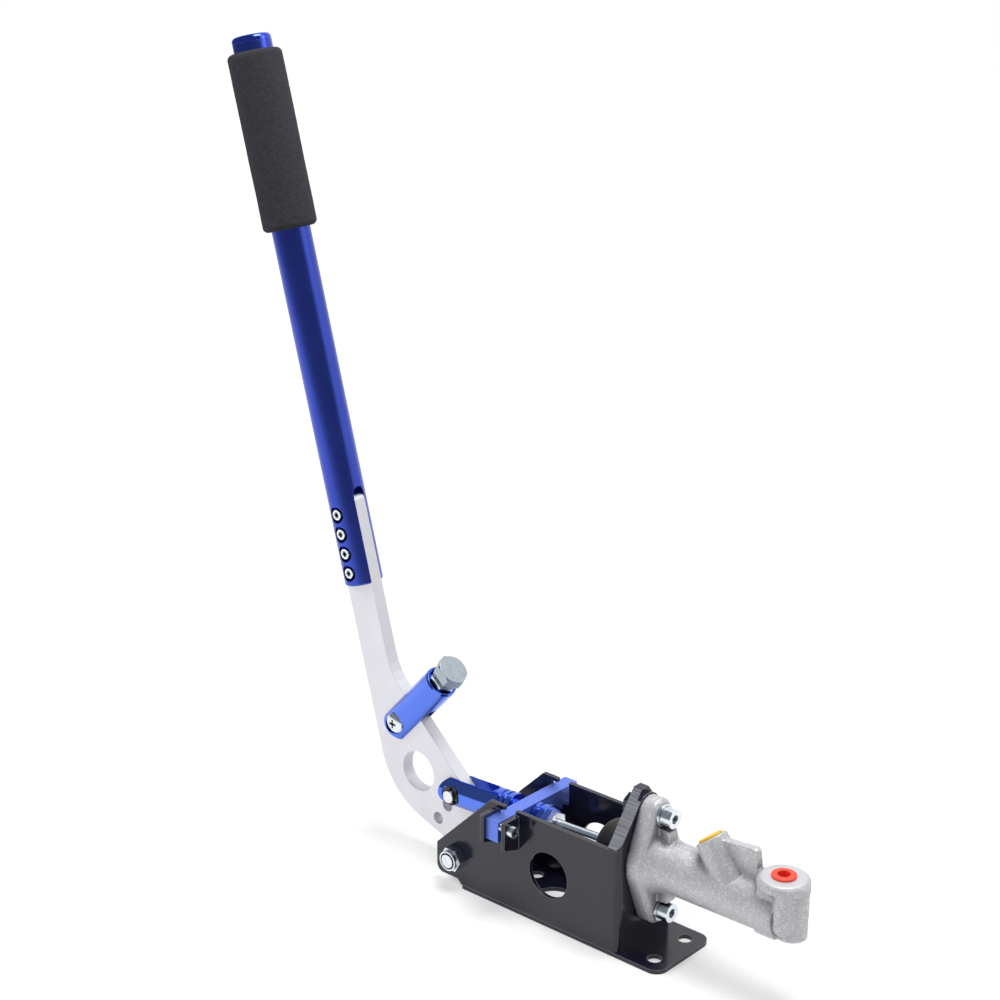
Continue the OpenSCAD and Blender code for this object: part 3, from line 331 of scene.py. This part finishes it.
def makeBlastedAlloy(look):
    material, tree, shader, place = newMaterial("blastedAluminium")
    grain = addNode(tree, "ShaderNodeTexNoise", {"Vector": place, "Scale": 1000 / look["grain"], "Detail": 4})
    cloud = addNode(tree, "ShaderNodeTexNoise", {"Vector": place, "Scale": 1000 / look["cloud"], "Detail": 3})
    colour = addNode(tree, "ShaderNodeMixRGB", {"Fac": cloud.outputs["Fac"], "Color1": linear(look["dark"]),
                                               "Color2": linear(look["bright"])})
    gloss = addNode(tree, "ShaderNodeMapRange", {"Value": grain.outputs["Fac"], "To Min": look["gloss"][0],
                                                "To Max": look["gloss"][1]})
    facing = addNode(tree, "ShaderNodeSeparateXYZ", {0: addNode(tree, "ShaderNodeTexCoord").outputs["Normal"]})
    sideways = addNode(tree, "ShaderNodeMath", {0: facing.outputs["Y"]}, operation="ABSOLUTE")
    sawn = addNode(tree, "ShaderNodeMath", {0: sideways.outputs[0], 1: look["sawnBelow"]}, operation="LESS_THAN")
    colour = addNode(tree, "ShaderNodeMixRGB", {"Fac": sawn.outputs[0], "Color1": colour.outputs[0],
                                               "Color2": linear(look["sawn"])})
    # painted highlight along the corners, standing in for the light caught by their rounding
    edge = addNode(tree, "ShaderNodeBevel", {"Radius": look["edge"] * mm}, samples=6)
    colour = addNode(tree, "ShaderNodeMixRGB", {"Fac": edgeShare(tree, edge).outputs[0], "Color1": colour.outputs[0],
                                               "Color2": linear(look["rubbedAndGlint"])})
    bump = addNode(tree, "ShaderNodeBump", {"Height": grain.outputs["Fac"], "Strength": look["grainStrength"],
                                            "Distance": look["grainDepth"] * mm, "Normal": edge.outputs[0]})
    shader.inputs["Metallic"].default_value = look["metallic"]
    wireShader(tree, shader, {"Base Color": colour.outputs[0], "Roughness": gloss.outputs[0],
                              "Normal": bump.outputs[0]})
    return material


# gravity-cast aluminium, tumbled: a pitted skin whose grains and flecks glitter, with a painted highlight on its ridges
# and painted shade in its hollows; sand grain is about 0.3 mm, drawn at 0.8 mm so that it shows; the outlet's top is
# faced off in the lathe
outletFace = {"from": 93.0, "height": 89.6}
castLook = {"dark": "#b2b1b5", "bright": "#cbcace", "cloud": 18.0, "grain": 0.8, "pits": 2.4, "fleck": "#f2f1f4",
            "fleckRange": (0.54, 0.66), "fleckShare": 0.5, "rubbedAndGlint": "#f0eff2", "rubbedRange": (0.5, 0.72),
            "rubbedShare": 0.75, "ridge": "#f6f5f8", "ridgeGlintRange": (0.52, 0.6), "ridgeGlintShare": 0.85,
            "hollowShade": "#5a5a60", "hollowReach": 10.0, "hollowRange": (0.4, 0.97), "gloss": (0.5, 0.3),
            "faced": "#cdcdd1", "bumpCast": 0.45, "facedBumpChange": -0.4, "pitDepth": 0.5, "grainDepth": 0.3,
            "metallic": 0.4}


def makeCastAlloy(look, face):
    material, tree, shader, place = newMaterial("castAluminium")
    grain = addNode(tree, "ShaderNodeTexNoise", {"Vector": place, "Scale": 1000 / look["grain"], "Detail": 3,
                                                "Roughness": 0.6})
    pits = addNode(tree, "ShaderNodeTexNoise", {"Vector": place, "Scale": 1000 / look["pits"], "Detail": 4,
                                               "Roughness": 0.6})
    cloud = addNode(tree, "ShaderNodeTexNoise", {"Vector": place, "Scale": 1000 / look["cloud"], "Detail": 3})
    tone = addNode(tree, "ShaderNodeMixRGB", {"Fac": cloud.outputs["Fac"], "Color1": linear(look["dark"]),
                                             "Color2": linear(look["bright"])})
    fleck = addNode(tree, "ShaderNodeMapRange", {"Value": pits.outputs["Fac"], "From Min": look["fleckRange"][0],
                                                "From Max": look["fleckRange"][1], "To Max": look["fleckShare"]})
    tone = addNode(tree, "ShaderNodeMixRGB", {"Fac": fleck.outputs[0], "Color1": tone.outputs[0],
                                             "Color2": linear(look["fleck"])})
    rubbedAndGlint = addNode(tree, "ShaderNodeMapRange", {"Value": grain.outputs["Fac"], "From Min": look["rubbedRange"][0],
                                                 "From Max": look["rubbedRange"][1], "To Max": look["rubbedShare"]})
    colour = addNode(tree, "ShaderNodeMixRGB", {"Fac": rubbedAndGlint.outputs[0], "Color1": tone.outputs[0],
                                               "Color2": linear(look["rubbedAndGlint"])})
    # painted highlight on the ridges, picked out by pointiness
    ridge = addNode(tree, "ShaderNodeNewGeometry").outputs["Pointiness"]
    ridge = addNode(tree, "ShaderNodeMapRange", {"Value": ridge, "From Min": look["ridgeGlintRange"][0],
                                                "From Max": look["ridgeGlintRange"][1], "To Max": look["ridgeGlintShare"]})
    colour = addNode(tree, "ShaderNodeMixRGB", {"Fac": ridge.outputs[0], "Color1": colour.outputs[0],
                                               "Color2": linear(look["ridge"])})
    # painted shade in the hollows, from ambient occlusion
    hollowShade = addNode(tree, "ShaderNodeAmbientOcclusion", {"Distance": look["hollowReach"] * mm}, samples=6)
    castLitShare = addNode(tree, "ShaderNodeMapRange", {"Value": hollowShade.outputs["AO"], "From Min": look["hollowRange"][0],
                                               "From Max": look["hollowRange"][1]})
    colour = addNode(tree, "ShaderNodeMixRGB", {"Fac": castLitShare.outputs[0], "Color1": linear(look["hollowShade"]),
                                               "Color2": colour.outputs[0]})
    gloss = addNode(tree, "ShaderNodeMapRange", {"Value": rubbedAndGlint.outputs[0], "To Min": look["gloss"][0],
                                                "To Max": look["gloss"][1]})
    spot = addNode(tree, "ShaderNodeSeparateXYZ", {0: place})
    ahead = addNode(tree, "ShaderNodeMath", {0: spot.outputs["X"], 1: face["from"] * mm}, operation="GREATER_THAN")
    above = addNode(tree, "ShaderNodeMath", {0: spot.outputs["Z"], 1: face["height"] * mm}, operation="GREATER_THAN")
    faced = addNode(tree, "ShaderNodeMath", {0: ahead.outputs[0], 1: above.outputs[0]}, operation="MULTIPLY")
    colour = addNode(tree, "ShaderNodeMixRGB", {"Fac": faced.outputs[0], "Color1": colour.outputs[0],
                                               "Color2": linear(look["faced"])})
    rough = addNode(tree, "ShaderNodeMath", {0: faced.outputs[0], 1: look["facedBumpChange"], 2: look["bumpCast"]},
                    operation="MULTIPLY_ADD")
    deep = addNode(tree, "ShaderNodeBump", {"Height": pits.outputs["Fac"], "Strength": rough.outputs[0],
                                            "Distance": look["pitDepth"] * mm})
    bump = addNode(tree, "ShaderNodeBump", {"Height": grain.outputs["Fac"], "Strength": rough.outputs[0],
                                            "Distance": look["grainDepth"] * mm, "Normal": deep.outputs[0]})
    shader.inputs["Metallic"].default_value = look["metallic"]
    wireShader(tree, shader, {"Base Color": colour.outputs[0], "Roughness": gloss.outputs[0],
                              "Normal": bump.outputs[0]})
    return material


# zinc-plated steel: bluish white mirror, cloudy where it was tumbled, with painted shade down in its hollows
zincSkin = {"cloud": 4.0, "hollowShade": "#16181c", "hollowReach": 4.0, "hollowRange": (0.3, 0.68), "hollowLeast": 0.06,
            "edge": 0.35}
zincLooks = {"brightZincPlate": {"dark": "#ccd4dc", "bright": "#f0f4f8", "gloss": (0.16, 0.3)},
             "dullZincPlate": {"dark": "#98a1aa", "bright": "#b4bcc4", "gloss": (0.26, 0.38)}}


def makeZinc(name, skin):
    look = zincLooks[name]
    material, tree, shader, place = newMaterial(name)
    cloud = addNode(tree, "ShaderNodeTexNoise", {"Vector": place, "Scale": 1000 / skin["cloud"], "Detail": 4})
    colour = addNode(tree, "ShaderNodeMixRGB", {"Fac": cloud.outputs["Fac"], "Color1": linear(look["dark"]),
                                               "Color2": linear(look["bright"])})
    # painted shade in sockets and crevices, from ambient occlusion
    hollowShade = addNode(tree, "ShaderNodeAmbientOcclusion", {"Distance": skin["hollowReach"] * mm}, samples=6)
    zincLitShare = addNode(tree, "ShaderNodeMapRange", {"Value": hollowShade.outputs["AO"], "From Min": skin["hollowRange"][0],
                                                "From Max": skin["hollowRange"][1], "To Min": skin["hollowLeast"]})
    colour = addNode(tree, "ShaderNodeMixRGB", {"Fac": zincLitShare.outputs[0], "Color1": linear(skin["hollowShade"]),
                                               "Color2": colour.outputs[0]})
    gloss = addNode(tree, "ShaderNodeMapRange", {"Value": cloud.outputs["Fac"], "To Min": look["gloss"][0],
                                                "To Max": look["gloss"][1]})
    edge = addNode(tree, "ShaderNodeBevel", {"Radius": skin["edge"] * mm}, samples=4)
    shader.inputs["Metallic"].default_value = 1.0
    wireShader(tree, shader, {"Base Color": colour.outputs[0], "Roughness": gloss.outputs[0],
                              "Normal": edge.outputs[0]})
    return material


# closed-cell rubber foam: dead matte with tiny burst cells that catch the light, drawn 1.15 mm apart so that they
# show
foamLook = {"dark": "#28282c", "bright": "#3c3c43", "cloud": 3.0, "cell": 1.15, "speck": "#7c7c86",
            "speckRange": (0.2, 0.05), "speckShare": 0.5, "cellStrength": 0.5, "cellDepth": 0.3, "roughness": 0.92,
            "specular": 0.25}


def makeFoam(look):
    material, tree, shader, place = newMaterial("closedCellFoam")
    cells = addNode(tree, "ShaderNodeTexVoronoi", {"Vector": place, "Scale": 1000 / look["cell"]})
    cloud = addNode(tree, "ShaderNodeTexNoise", {"Vector": place, "Scale": 1000 / look["cloud"], "Detail": 5})
    colour = addNode(tree, "ShaderNodeMixRGB", {"Fac": cloud.outputs["Fac"], "Color1": linear(look["dark"]),
                                               "Color2": linear(look["bright"])})
    speck = addNode(tree, "ShaderNodeMapRange", {"Value": cells.outputs["Distance"],
                                                "From Min": look["speckRange"][0],
                                                "From Max": look["speckRange"][1], "To Max": look["speckShare"]})
    colour = addNode(tree, "ShaderNodeMixRGB", {"Fac": speck.outputs[0], "Color1": colour.outputs[0],
                                               "Color2": linear(look["speck"])})
    bump = addNode(tree, "ShaderNodeBump", {"Height": cells.outputs["Distance"], "Strength": look["cellStrength"],
                                            "Distance": look["cellDepth"] * mm})
    shader.inputs["Roughness"].default_value = look["roughness"]
    shader.inputs["Specular IOR Level"].default_value = look["specular"]
    wireShader(tree, shader, {"Base Color": colour.outputs[0], "Normal": bump.outputs[0]})
    return material


# moulded rubber and the two soft plastic transport plugs: even colour with a fine moulded grain
mouldedSkin = {"edge": 0.4, "grainStrength": 0.1, "grainDepth": 0.1}
mouldedLooks = {"mouldedBlackRubber": {"dark": "#131315", "bright": "#1f1f22", "roughness": 0.55, "grain": 1.5},
                "redPolythene": {"dark": "#e8412a", "bright": "#f5543a", "roughness": 0.4, "grain": 2.0},
                "yellowPolythene": {"dark": "#f4bd1a", "bright": "#ffd03c", "roughness": 0.4, "grain": 2.0}}


def makeMoulded(name, skin):
    look = mouldedLooks[name]
    material, tree, shader, place = newMaterial(name)
    grain = addNode(tree, "ShaderNodeTexNoise", {"Vector": place, "Scale": 1000 / look["grain"], "Detail": 4})
    colour = addNode(tree, "ShaderNodeMixRGB", {"Fac": grain.outputs["Fac"], "Color1": linear(look["dark"]),
                                               "Color2": linear(look["bright"])})
    edge = addNode(tree, "ShaderNodeBevel", {"Radius": skin["edge"] * mm}, samples=4)
    bump = addNode(tree, "ShaderNodeBump", {"Height": grain.outputs["Fac"], "Strength": skin["grainStrength"],
                                            "Distance": skin["grainDepth"] * mm, "Normal": edge.outputs[0]})
    shader.inputs["Roughness"].default_value = look["roughness"]
    wireShader(tree, shader, {"Base Color": colour.outputs[0], "Normal": bump.outputs[0]})
    return material


# blackened spring steel and sintered bronze: darker metals with a cloudy skin
darkMetalSkin = {"cloud": 2.0, "edge": 0.2}
darkMetalLooks = {"blackenedSpringSteel": {"dark": "#3a3835", "bright": "#56534d", "roughness": 0.35},
                  "sinteredBronze": {"dark": "#8c6c3c", "bright": "#b08c54", "roughness": 0.4}}


def makeDarkMetal(name, skin):
    look = darkMetalLooks[name]
    material, tree, shader, place = newMaterial(name)
    cloud = addNode(tree, "ShaderNodeTexNoise", {"Vector": place, "Scale": 1000 / skin["cloud"], "Detail": 4})
    colour = addNode(tree, "ShaderNodeMixRGB", {"Fac": cloud.outputs["Fac"], "Color1": linear(look["dark"]),
                                               "Color2": linear(look["bright"])})
    edge = addNode(tree, "ShaderNodeBevel", {"Radius": skin["edge"] * mm}, samples=4)
    shader.inputs["Metallic"].default_value = 1.0
    shader.inputs["Roughness"].default_value = look["roughness"]
    wireShader(tree, shader, {"Base Color": colour.outputs[0], "Normal": edge.outputs[0]})
    return material


blackCoat = makeBlackPowderCoat(blackCoatLook)
tubeBlue, forkBlue, clevisBlue, capBlue = (makeTurnedBlue(name, turnedSkin) for name in turnedLooks)
matteBlue = makeMatteBlue(matteBlueLook)
blastedAlloy = makeBlastedAlloy(blastedLook)
castAlloy = makeCastAlloy(castLook, outletFace)
brightZinc, dullZinc = (makeZinc(name, zincSkin) for name in zincLooks)
foam = makeFoam(foamLook)
rubber, redPlastic, yellowPlastic = (makeMoulded(name, mouldedSkin) for name in mouldedLooks)
springSteel, bronze = (makeDarkMetal(name, darkMetalSkin) for name in darkMetalLooks)

finishes = {
    "bracket_black": blackCoat, "bar_blue": matteBlue, "anodised_blue": tubeBlue, "blasted_alloy": blastedAlloy,
    "cast_alloy": castAlloy, "zinc_steel": brightZinc, "spring_steel": springSteel, "bronze": bronze,
    "rubber": rubber, "foam": foam, "red_plastic": redPlastic, "yellow_plastic": yellowPlastic}
for part in frame["record"]["subparts"]:
    node = cadNodes[part["node"]]
    node.data.materials.clear()
    node.data.materials.append(finishes[part["material_slot"]])
ownFinishes = {"end_cap": capBlue, "stop_fork": forkBlue, "clevis": clevisBlue, "cylinder_nuts": blackCoat,
               "stop_bolt": dullZinc}
for name, finish in ownFinishes.items():
    cadNodes[name].data.materials[0] = finish


def plainObject(name, mesh):
    obj = bpy.data.objects.new(name, mesh)
    scene.collection.objects.link(obj)
    return obj


# foam grip: a slightly uneven sleeve, rounded at both ends, cut short of the tube's own radius
handle = {"foot": (-263.0, 0.0, 193.0), "lean": 15.1, "gripFrom": 259.5, "gripTo": 385.0, "gripRadius": 19.5,
          "tubeRadius": 14.0, "gripRound": 4.0}
gripForm = {"around": 96, "along": 150, "cornerSteps": 8, "swell": 0.22, "swellSize": 26.0, "crumb": 0.1,
            "crumbSize": 2.2, "clear": 0.05, "boreBand": 0.1}


def makeGrip(h, g):
    r, low, high, corner = h["gripRadius"], h["gripFrom"], h["gripTo"], h["gripRound"]
    inner = h["tubeRadius"] + g["clear"]
    profile = [(inner, low)]
    for i in range(g["cornerSteps"] + 1):
        t = math.pi / 2 * i / g["cornerSteps"]
        profile.append((r - corner + corner * math.sin(t), low + corner - corner * math.cos(t)))
    profile += [(r, low + corner + (high - low - 2 * corner) * i / g["along"]) for i in range(1, g["along"])]
    for i in range(g["cornerSteps"] + 1):
        t = math.pi / 2 * i / g["cornerSteps"]
        profile.append((r - corner + corner * math.cos(t), high - corner + corner * math.sin(t)))
    profile.append((inner, high))
    place = Matrix.Translation(Vector(h["foot"])) @ Matrix.Rotation(math.radians(-h["lean"]), 4, "Y")
    points = []
    for radius, z in profile:
        for k in range(g["around"]):
            a = 2 * math.pi * k / g["around"]
            p = Vector((math.cos(a) * radius, math.sin(a) * radius, z))
            uneven = g["swell"] * noise.noise(p / g["swellSize"]) + g["crumb"] * noise.noise(p / g["crumbSize"])
            if radius > inner + g["boreBand"]:
                p += Vector((math.cos(a), math.sin(a), 0)) * uneven
            points.append(place @ p * mm)
    rows, around = len(profile), g["around"]
    faces = [(i * around + k, i * around + (k + 1) % around, (i + 1) % rows * around + (k + 1) % around,
              (i + 1) % rows * around + k) for i in range(rows) for k in range(around)]
    mesh = bpy.data.meshes.new("foamGripSleeve")
    mesh.from_pydata(points, [], faces)
    mesh.materials.append(foam)
    mesh.shade_smooth()
    grip = plainObject("foamGripSleeve", mesh)
    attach(grip, "lever")
    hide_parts("foam_grip")


makeGrip(handle, gripForm)
print("foam grip made")


# mesh of an object with its modifiers worked out, and the object itself cleared away
def takeMesh(obj, name):
    mesh = bpy.data.meshes.new_from_object(obj.evaluated_get(bpy.context.evaluated_depsgraph_get()))
    mesh.name = name
    old = obj.data
    bpy.data.objects.remove(obj)
    bpy.data.meshes.remove(old)
    return mesh


# cylinder casting: the solid with its mould-soft edges and an uneven skin, its bore kept true
castingForm = {"weld": 0.001, "grain": 0.7, "soften": 1, "softenShare": 0.5, "boreHeight": 64.8, "boreRadius": 9.56,
               "boreFrom": -17.0, "boreTo": 103.0, "boreBand": 0.9, "skinFrom": 1.0, "lump": 0.14, "lumpSize": 5.0,
               "skin": 0.08, "skinSize": 1.7,
               "faceFrom": outletFace["from"], "faceHeight": outletFace["height"], "noseFrom": 109.9, "noseTop": 82.6,
               "noseWaist": 0.8, "columnAt": (114.5, 9.0), "columnRadius": 6.8, "columnFoot": 54.2,
               "columnClear": 0.2, "waistBlend": 0.8}


def makeCasting(c):
    mesh = cadNodes["cylinder_body"].data.copy()
    merged = bmesh.new()
    merged.from_mesh(mesh)
    bmesh.ops.remove_doubles(merged, verts=merged.verts, dist=c["weld"] * mm)
    merged.to_mesh(mesh)
    merged.free()
    block = plainObject("castingBlock", mesh)
    remesh = block.modifiers.new("mould", "REMESH")
    remesh.mode, remesh.voxel_size = "VOXEL", c["grain"] * mm
    soften = block.modifiers.new("soften", "SMOOTH")
    soften.factor, soften.iterations = c["softenShare"], c["soften"]
    mesh = takeMesh(block, "cylinderCasting")
    mesh.materials.clear()
    mesh.materials.append(castAlloy)
    normals = [n.vector.copy() for n in mesh.vertex_normals]
    for vertex, out in zip(mesh.vertices, normals):
        p = vertex.co / mm
        spoke = Vector((0, p.y, p.z - c["boreHeight"]))
        if c["boreFrom"] < p.x < c["boreTo"] and spoke.length < c["boreRadius"] + c["boreBand"]:
            p += spoke.normalized() * (c["boreRadius"] - spoke.length)
        elif p.x > c["skinFrom"] and not (p.x > c["faceFrom"] and p.z > c["faceHeight"]):
            if p.x > c["noseFrom"] and p.z < c["noseTop"]:
                # the nose is waisted between its columns
                rise = max(0.0, c["columnFoot"] + c["columnRadius"] - p.z)
                gap = math.hypot(p.x - c["columnAt"][0], abs(p.y) - c["columnAt"][1], rise)
                gap = gap - c["columnRadius"] - c["columnClear"]
                p.y *= 1 - (1 - c["noseWaist"]) * min(max(gap / c["waistBlend"], 0.0), 1.0)
            p -= out * abs(c["lump"] * noise.noise(p / c["lumpSize"]) + c["skin"] * noise.noise(p / c["skinSize"]))
        vertex.co = p * mm
    mesh.shade_smooth()
    casting = plainObject("cylinderCasting", mesh)
    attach(casting, "bracket")
    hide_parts("cylinder_body")
    print("casting has", len(mesh.polygons), "faces")


makeCasting(castingForm)

# fork screw: a domed head with a cross recess
forkScrew = {"axis": (-223.8, 96.1), "seat": -9.5, "rim": 7.6, "rimHeight": 0.7, "rise": 3.2, "shank": 4.0,
             "end": 17.0, "around": 72, "steps": 10, "crossWidth": 2.0, "crossLength": 8.6, "crossDepth": 2.6,
             "crossTaper": 0.55, "weld": 1e-4, "tiny": 1e-5, "sharp": 35.0}


def makeForkScrew(d):
    turns = [math.pi / 2 * i / d["steps"] for i in range(d["steps"])]
    dome = [(d["rim"] * math.cos(t), d["seat"] - d["rimHeight"] - d["rise"] * math.sin(t)) for t in turns]
    tip = d["seat"] - d["rimHeight"] - d["rise"]
    profile = [(0, d["end"]), (d["shank"], d["end"]), (d["shank"], d["seat"]), (d["rim"], d["seat"])] + dome
    profile.append((0, tip))
    turned = bmesh.new()
    spots = [turned.verts.new((d["axis"][0] + r, y, d["axis"][1])) for r, y in profile]
    edges = [turned.edges.new(pair) for pair in zip(spots, spots[1:])]
    bmesh.ops.spin(turned, geom=spots + edges, cent=(d["axis"][0], 0, d["axis"][1]), axis=(0, 1, 0),
                   angle=2 * math.pi, steps=d["around"])
    bmesh.ops.remove_doubles(turned, verts=turned.verts, dist=d["weld"])
    bmesh.ops.dissolve_degenerate(turned, edges=turned.edges, dist=d["tiny"])
    bmesh.ops.recalc_face_normals(turned, faces=turned.faces)
    mesh = bpy.data.meshes.new("forkScrewBlank")
    turned.to_mesh(mesh)
    turned.free()
    mesh.transform(Matrix.Scale(mm, 4))
    blank = plainObject("forkScrewBlank", mesh)
    cutters = []
    for length, width in ((d["crossLength"], d["crossWidth"]), (d["crossWidth"], d["crossLength"])):
        bit = bmesh.new()
        bmesh.ops.create_cube(bit, size=1)
        for v in bit.verts:
            inward = d["crossTaper"] if v.co.y > 0 else 1.0
            v.co = Vector((d["axis"][0] + v.co.x * length * inward, tip + v.co.y * 2 * d["crossDepth"],
                           d["axis"][1] + v.co.z * width * inward)) * mm
        mesh = bpy.data.meshes.new("crossBit")
        bit.to_mesh(mesh)
        bit.free()
        cutters.append(plainObject("crossBit", mesh))
        cut = blank.modifiers.new("cross", "BOOLEAN")
        cut.operation, cut.solver, cut.object = "DIFFERENCE", "EXACT", cutters[-1]
    mesh = takeMesh(blank, "forkScrew")
    for cutter in cutters:
        bpy.data.meshes.remove(cutter.data)
    mesh.materials.clear()
    mesh.materials.append(brightZinc)
    mesh.shade_smooth()
    mesh.set_sharp_from_angle(angle=math.radians(d["sharp"]))
    screw = plainObject("forkScrew", mesh)
    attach(screw, "lever")
    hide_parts("stop_fork_screw")
    print("fork screw made")


makeForkScrew(forkScrew)

# helices: screw threads that show, with place, way out, thread radius, pitch and length, and the return spring
threadForm = {"proud": 0.22, "ridgeGlintShare": 0.42, "sides": 6, "stepsPerTurn": 24}
threads = {
    "leverThreads": ("lever", [((-183.6, 0.0, 139.97), (0.6756, 0.0, 0.7373), 6.0, 1.75, 4.9),
                               ((-223.8, 15.9, 96.1), (0.0, 1.0, 0.0), 4.0, 1.25, 1.1)]),
    "bracketThreads": ("bracket", [((-95.4, -39.5, 68.4), (1.0, 0.0, 0.0), 2.5, 0.8, 5.2),
                                   ((-95.4, 39.5, 61.2), (1.0, 0.0, 0.0), 2.5, 0.8, 5.2),
                                   ((-18.2, 0.0, 99.7), (1.0, 0.0, 0.0), 4.0, 1.25, 1.9),
                                   ((-18.2, 0.0, 29.9), (1.0, 0.0, 0.0), 4.0, 1.25, 1.9)])}
springForm = {"place": (77.95, 0.0, 64.8), "way": (1.0, 0.0, 0.0), "radius": 6.6, "turns": 4.0, "length": 25.1,
              "wire": 0.9, "sides": 12, "stepsPerTurn": 32, "fixedEnd": (0.104, 0.0, 0.0648), "keep": 0.7}


def makeHelixTree():
    tree = bpy.data.node_groups.new("helix", "GeometryNodeTree")
    tree.interface.new_socket("Geometry", in_out="OUTPUT", socket_type="NodeSocketGeometry")
    for name, kind in (("Radius", "Float"), ("Turns", "Float"), ("Length", "Float"), ("Ridge", "Float"),
                       ("Steps", "Int"), ("Sides", "Int"), ("Finish", "Material")):
        tree.interface.new_socket(name, in_out="INPUT", socket_type="NodeSocket" + kind)
    size = addNode(tree, "NodeGroupInput").outputs
    spiral = addNode(tree, "GeometryNodeCurveSpiral", {
        "Resolution": size["Steps"], "Rotations": size["Turns"], "Start Radius": size["Radius"],
        "End Radius": size["Radius"], "Height": size["Length"]})
    ridge = addNode(tree, "GeometryNodeCurvePrimitiveCircle", {"Resolution": size["Sides"], "Radius": size["Ridge"]})
    helix = addNode(tree, "GeometryNodeCurveToMesh", {"Curve": spiral.outputs[0], "Profile Curve": ridge.outputs[0],
                                                     "Fill Caps": True})
    real = addNode(tree, "GeometryNodeRealizeInstances", {"Geometry": helix.outputs[0]})
    done = addNode(tree, "GeometryNodeSetMaterial", {"Geometry": real.outputs[0], "Material": size["Finish"]})
    addNode(tree, "NodeGroupOutput", {"Geometry": done.outputs[0]})
    return tree


# one plain mesh from several helices: each has a place, a way, and the tree's own inputs
def makeHelices(name, helices, finish, tree):
    joined = bmesh.new()
    sockets = {item.name: item.identifier for item in tree.interface.items_tree if item.in_out == "INPUT"}
    for place, way, sizes in helices:
        blank = plainObject("helixBlank", bpy.data.meshes.new("helixBlank"))
        modifier = blank.modifiers.new("helix", "NODES")
        modifier.node_group = tree
        for socket, value in {**sizes, "Finish": finish}.items():
            modifier[sockets[socket]] = value
        mesh = takeMesh(blank, "helix")
        turn = Vector(way).to_track_quat("Z", "X").to_matrix().to_4x4()
        mesh.transform(Matrix.Translation(Vector(place) * mm) @ turn)
        joined.from_mesh(mesh)
        bpy.data.meshes.remove(mesh)
    bmesh.ops.recalc_face_normals(joined, faces=joined.faces)
    mesh = bpy.data.meshes.new(name)
    joined.to_mesh(mesh)
    joined.free()
    mesh.materials.append(finish)
    mesh.shade_smooth()
    return plainObject(name, mesh)


helixTree = makeHelixTree()
for name, (body, screws) in threads.items():
    helices = []
    for place, way, radius, pitch, length in screws:
        ridge = pitch * threadForm["ridgeGlintShare"]
        helices.append((place, way, {
            "Radius": (radius + threadForm["proud"] - ridge) * mm, "Turns": length / pitch, "Length": length * mm,
            "Ridge": ridge * mm, "Steps": threadForm["stepsPerTurn"], "Sides": threadForm["sides"]}))
    piece = makeHelices(name, helices, brightZinc, helixTree)
    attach(piece, body)
print("threads cut on", sum(len(screws) for body, screws in threads.values()), "screws")

# the return spring: one helix on the bore's axis, carried with the bracket at its full length
spring = makeHelices("returnSpring", [(springForm["place"], springForm["way"], {
    "Radius": springForm["radius"] * mm, "Turns": springForm["turns"], "Length": springForm["length"] * mm,
    "Ridge": springForm["wire"] * mm, "Steps": springForm["stepsPerTurn"], "Sides": springForm["sides"]})],
    springSteel, helixTree)
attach(spring, "bracket")
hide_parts("return_spring")
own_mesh(spring)
print("return spring wound")
